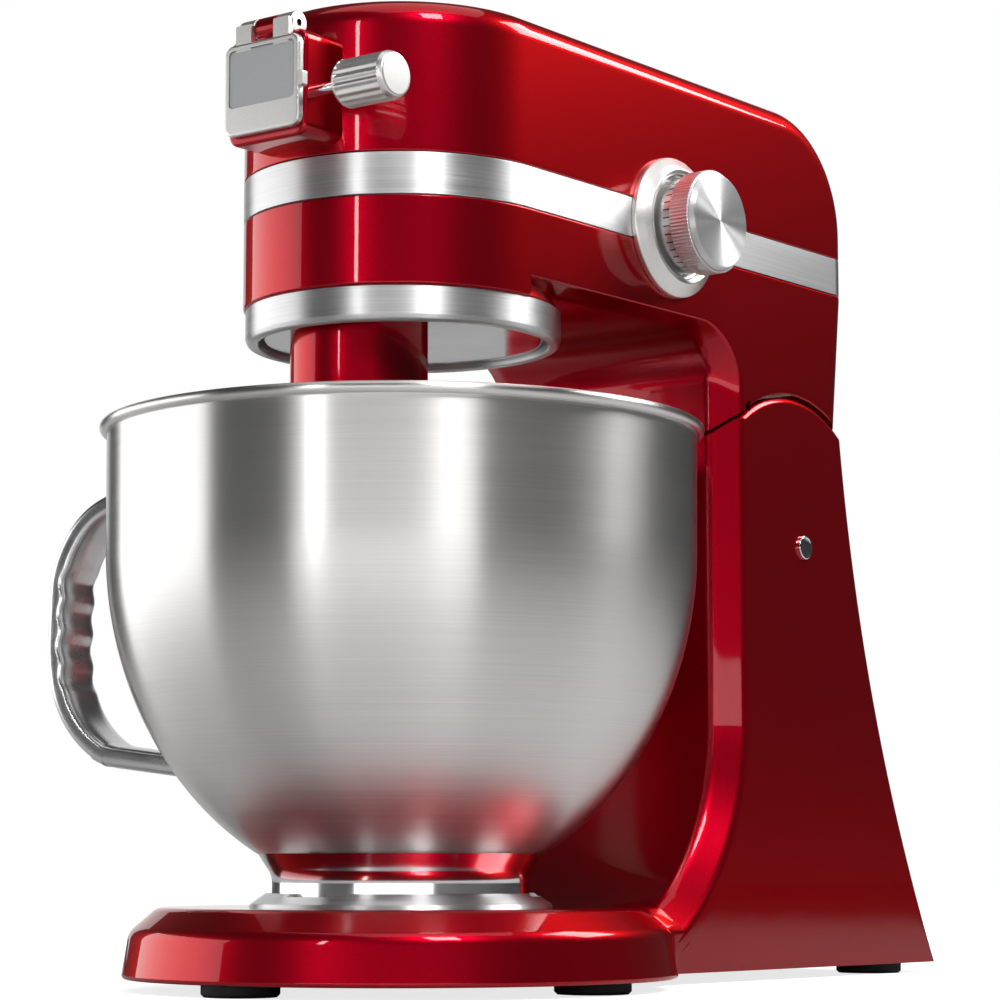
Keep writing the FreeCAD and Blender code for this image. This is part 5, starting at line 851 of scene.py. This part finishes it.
def make_surround():
    """A surround that is white to the camera and dim to everything else.

    Metal mirrors the white at a small part of its brightness, as in a room where only the backdrop is lit."""
    world = bpy.data.worlds.new("studio")
    bpy.context.scene.world = world
    world.use_nodes = True
    nodes = world.node_tree.nodes
    nodes["Background"].inputs["Color"].default_value = DIM_GREY
    dim = nodes["Background"].outputs[0]
    white = add(world, "ShaderNodeBackground", values={"Color": (1, 1, 1, 1), "Strength": 1.0}).outputs[0]
    path = add(world, "ShaderNodeLightPath").outputs
    rays = {0: path["Is Glossy Ray"], 2: path["Is Camera Ray"]}
    share = add(world, "ShaderNodeMath", rays, {1: MIRRORED_SHARE}, operation="MULTIPLY_ADD").outputs[0]
    mix = add(world, "ShaderNodeMixShader", {"Fac": share, 1: dim, 2: white})
    world.node_tree.links.new(mix.outputs[0], nodes["World Output"].inputs["Surface"])


# Soft lamps: where each stands, what it points at, its width and height in metres, and its power in watts.
LAMPS = {
    "left_panel": ((-1.29, -0.56, 0.36), (0, 0, 0.25), 1.6, 0.72, 8.0),
    "front_panel": ((0.87, -1.34, 0.06), (0, 0, 0.2), 2.2, 0.4, 8.5),
    "nose_strip": ((0.18, -1.5, 0.72), (0, 0, 0.3), 0.07, 0.5, 2.3),
    "key_box": ((0.92, -0.51, 1.22), (0, 0.05, 0.15), 0.3, 0.5, 11.0),
    "right_high": ((0.7, 0.95, 1.12), (0.05, 0.1, 0.2), 0.6, 0.6, 15.0),
    "backdrop": ((-1.15, 1.3, 0.62), (0, 0.05, 0.25), 1.5, 1.2, 4.5),
    "overhead": ((0.1, 0.0, 1.55), (0, 0.05, 0.3), 1.3, 1.3, 6.0),
}


def make_lamps():
    """Area lamps turned to face their targets: a lamp shines along its own -Z."""
    for name, (place, target, width, height, watts) in LAMPS.items():
        lamp = bpy.data.lights.new(name, "AREA")
        lamp.shape = "RECTANGLE"
        lamp.size, lamp.size_y, lamp.energy = width, height, watts
        item = bpy.data.objects.new(name, lamp)
        away = np.array(place, float) - np.array(target, float)
        level = math.hypot(away[0], away[1])
        item.location = place
        item.rotation_euler = (math.atan2(level, away[2]), 0, math.atan2(away[0], -away[1]))
        bpy.context.scene.collection.objects.link(item)


def make_camera():
    """The camera that fits the photograph: it stands low at the front right and looks up."""
    lens = bpy.data.cameras.new("camera")
    lens.sensor_width, lens.lens = 36.0, 107.25
    camera = bpy.data.objects.new("camera", lens)
    camera.location = (0.720347, -0.869002, 0.044801)
    camera.rotation_euler = (math.radians(97.05), 0, math.radians(37.77))
    bpy.context.scene.collection.objects.link(camera)
    bpy.context.scene.camera = camera
    bpy.context.scene.view_settings.view_transform = "Standard"


make_camera()
dress_nodes()
make_stand()
make_bowl()
make_handle()
make_cover()
make_lower_head()
make_band()
make_nose()
make_dial()
make_clamp()
make_hub()
make_flap()
make_button()
make_stage()
make_surround()
make_lamps()
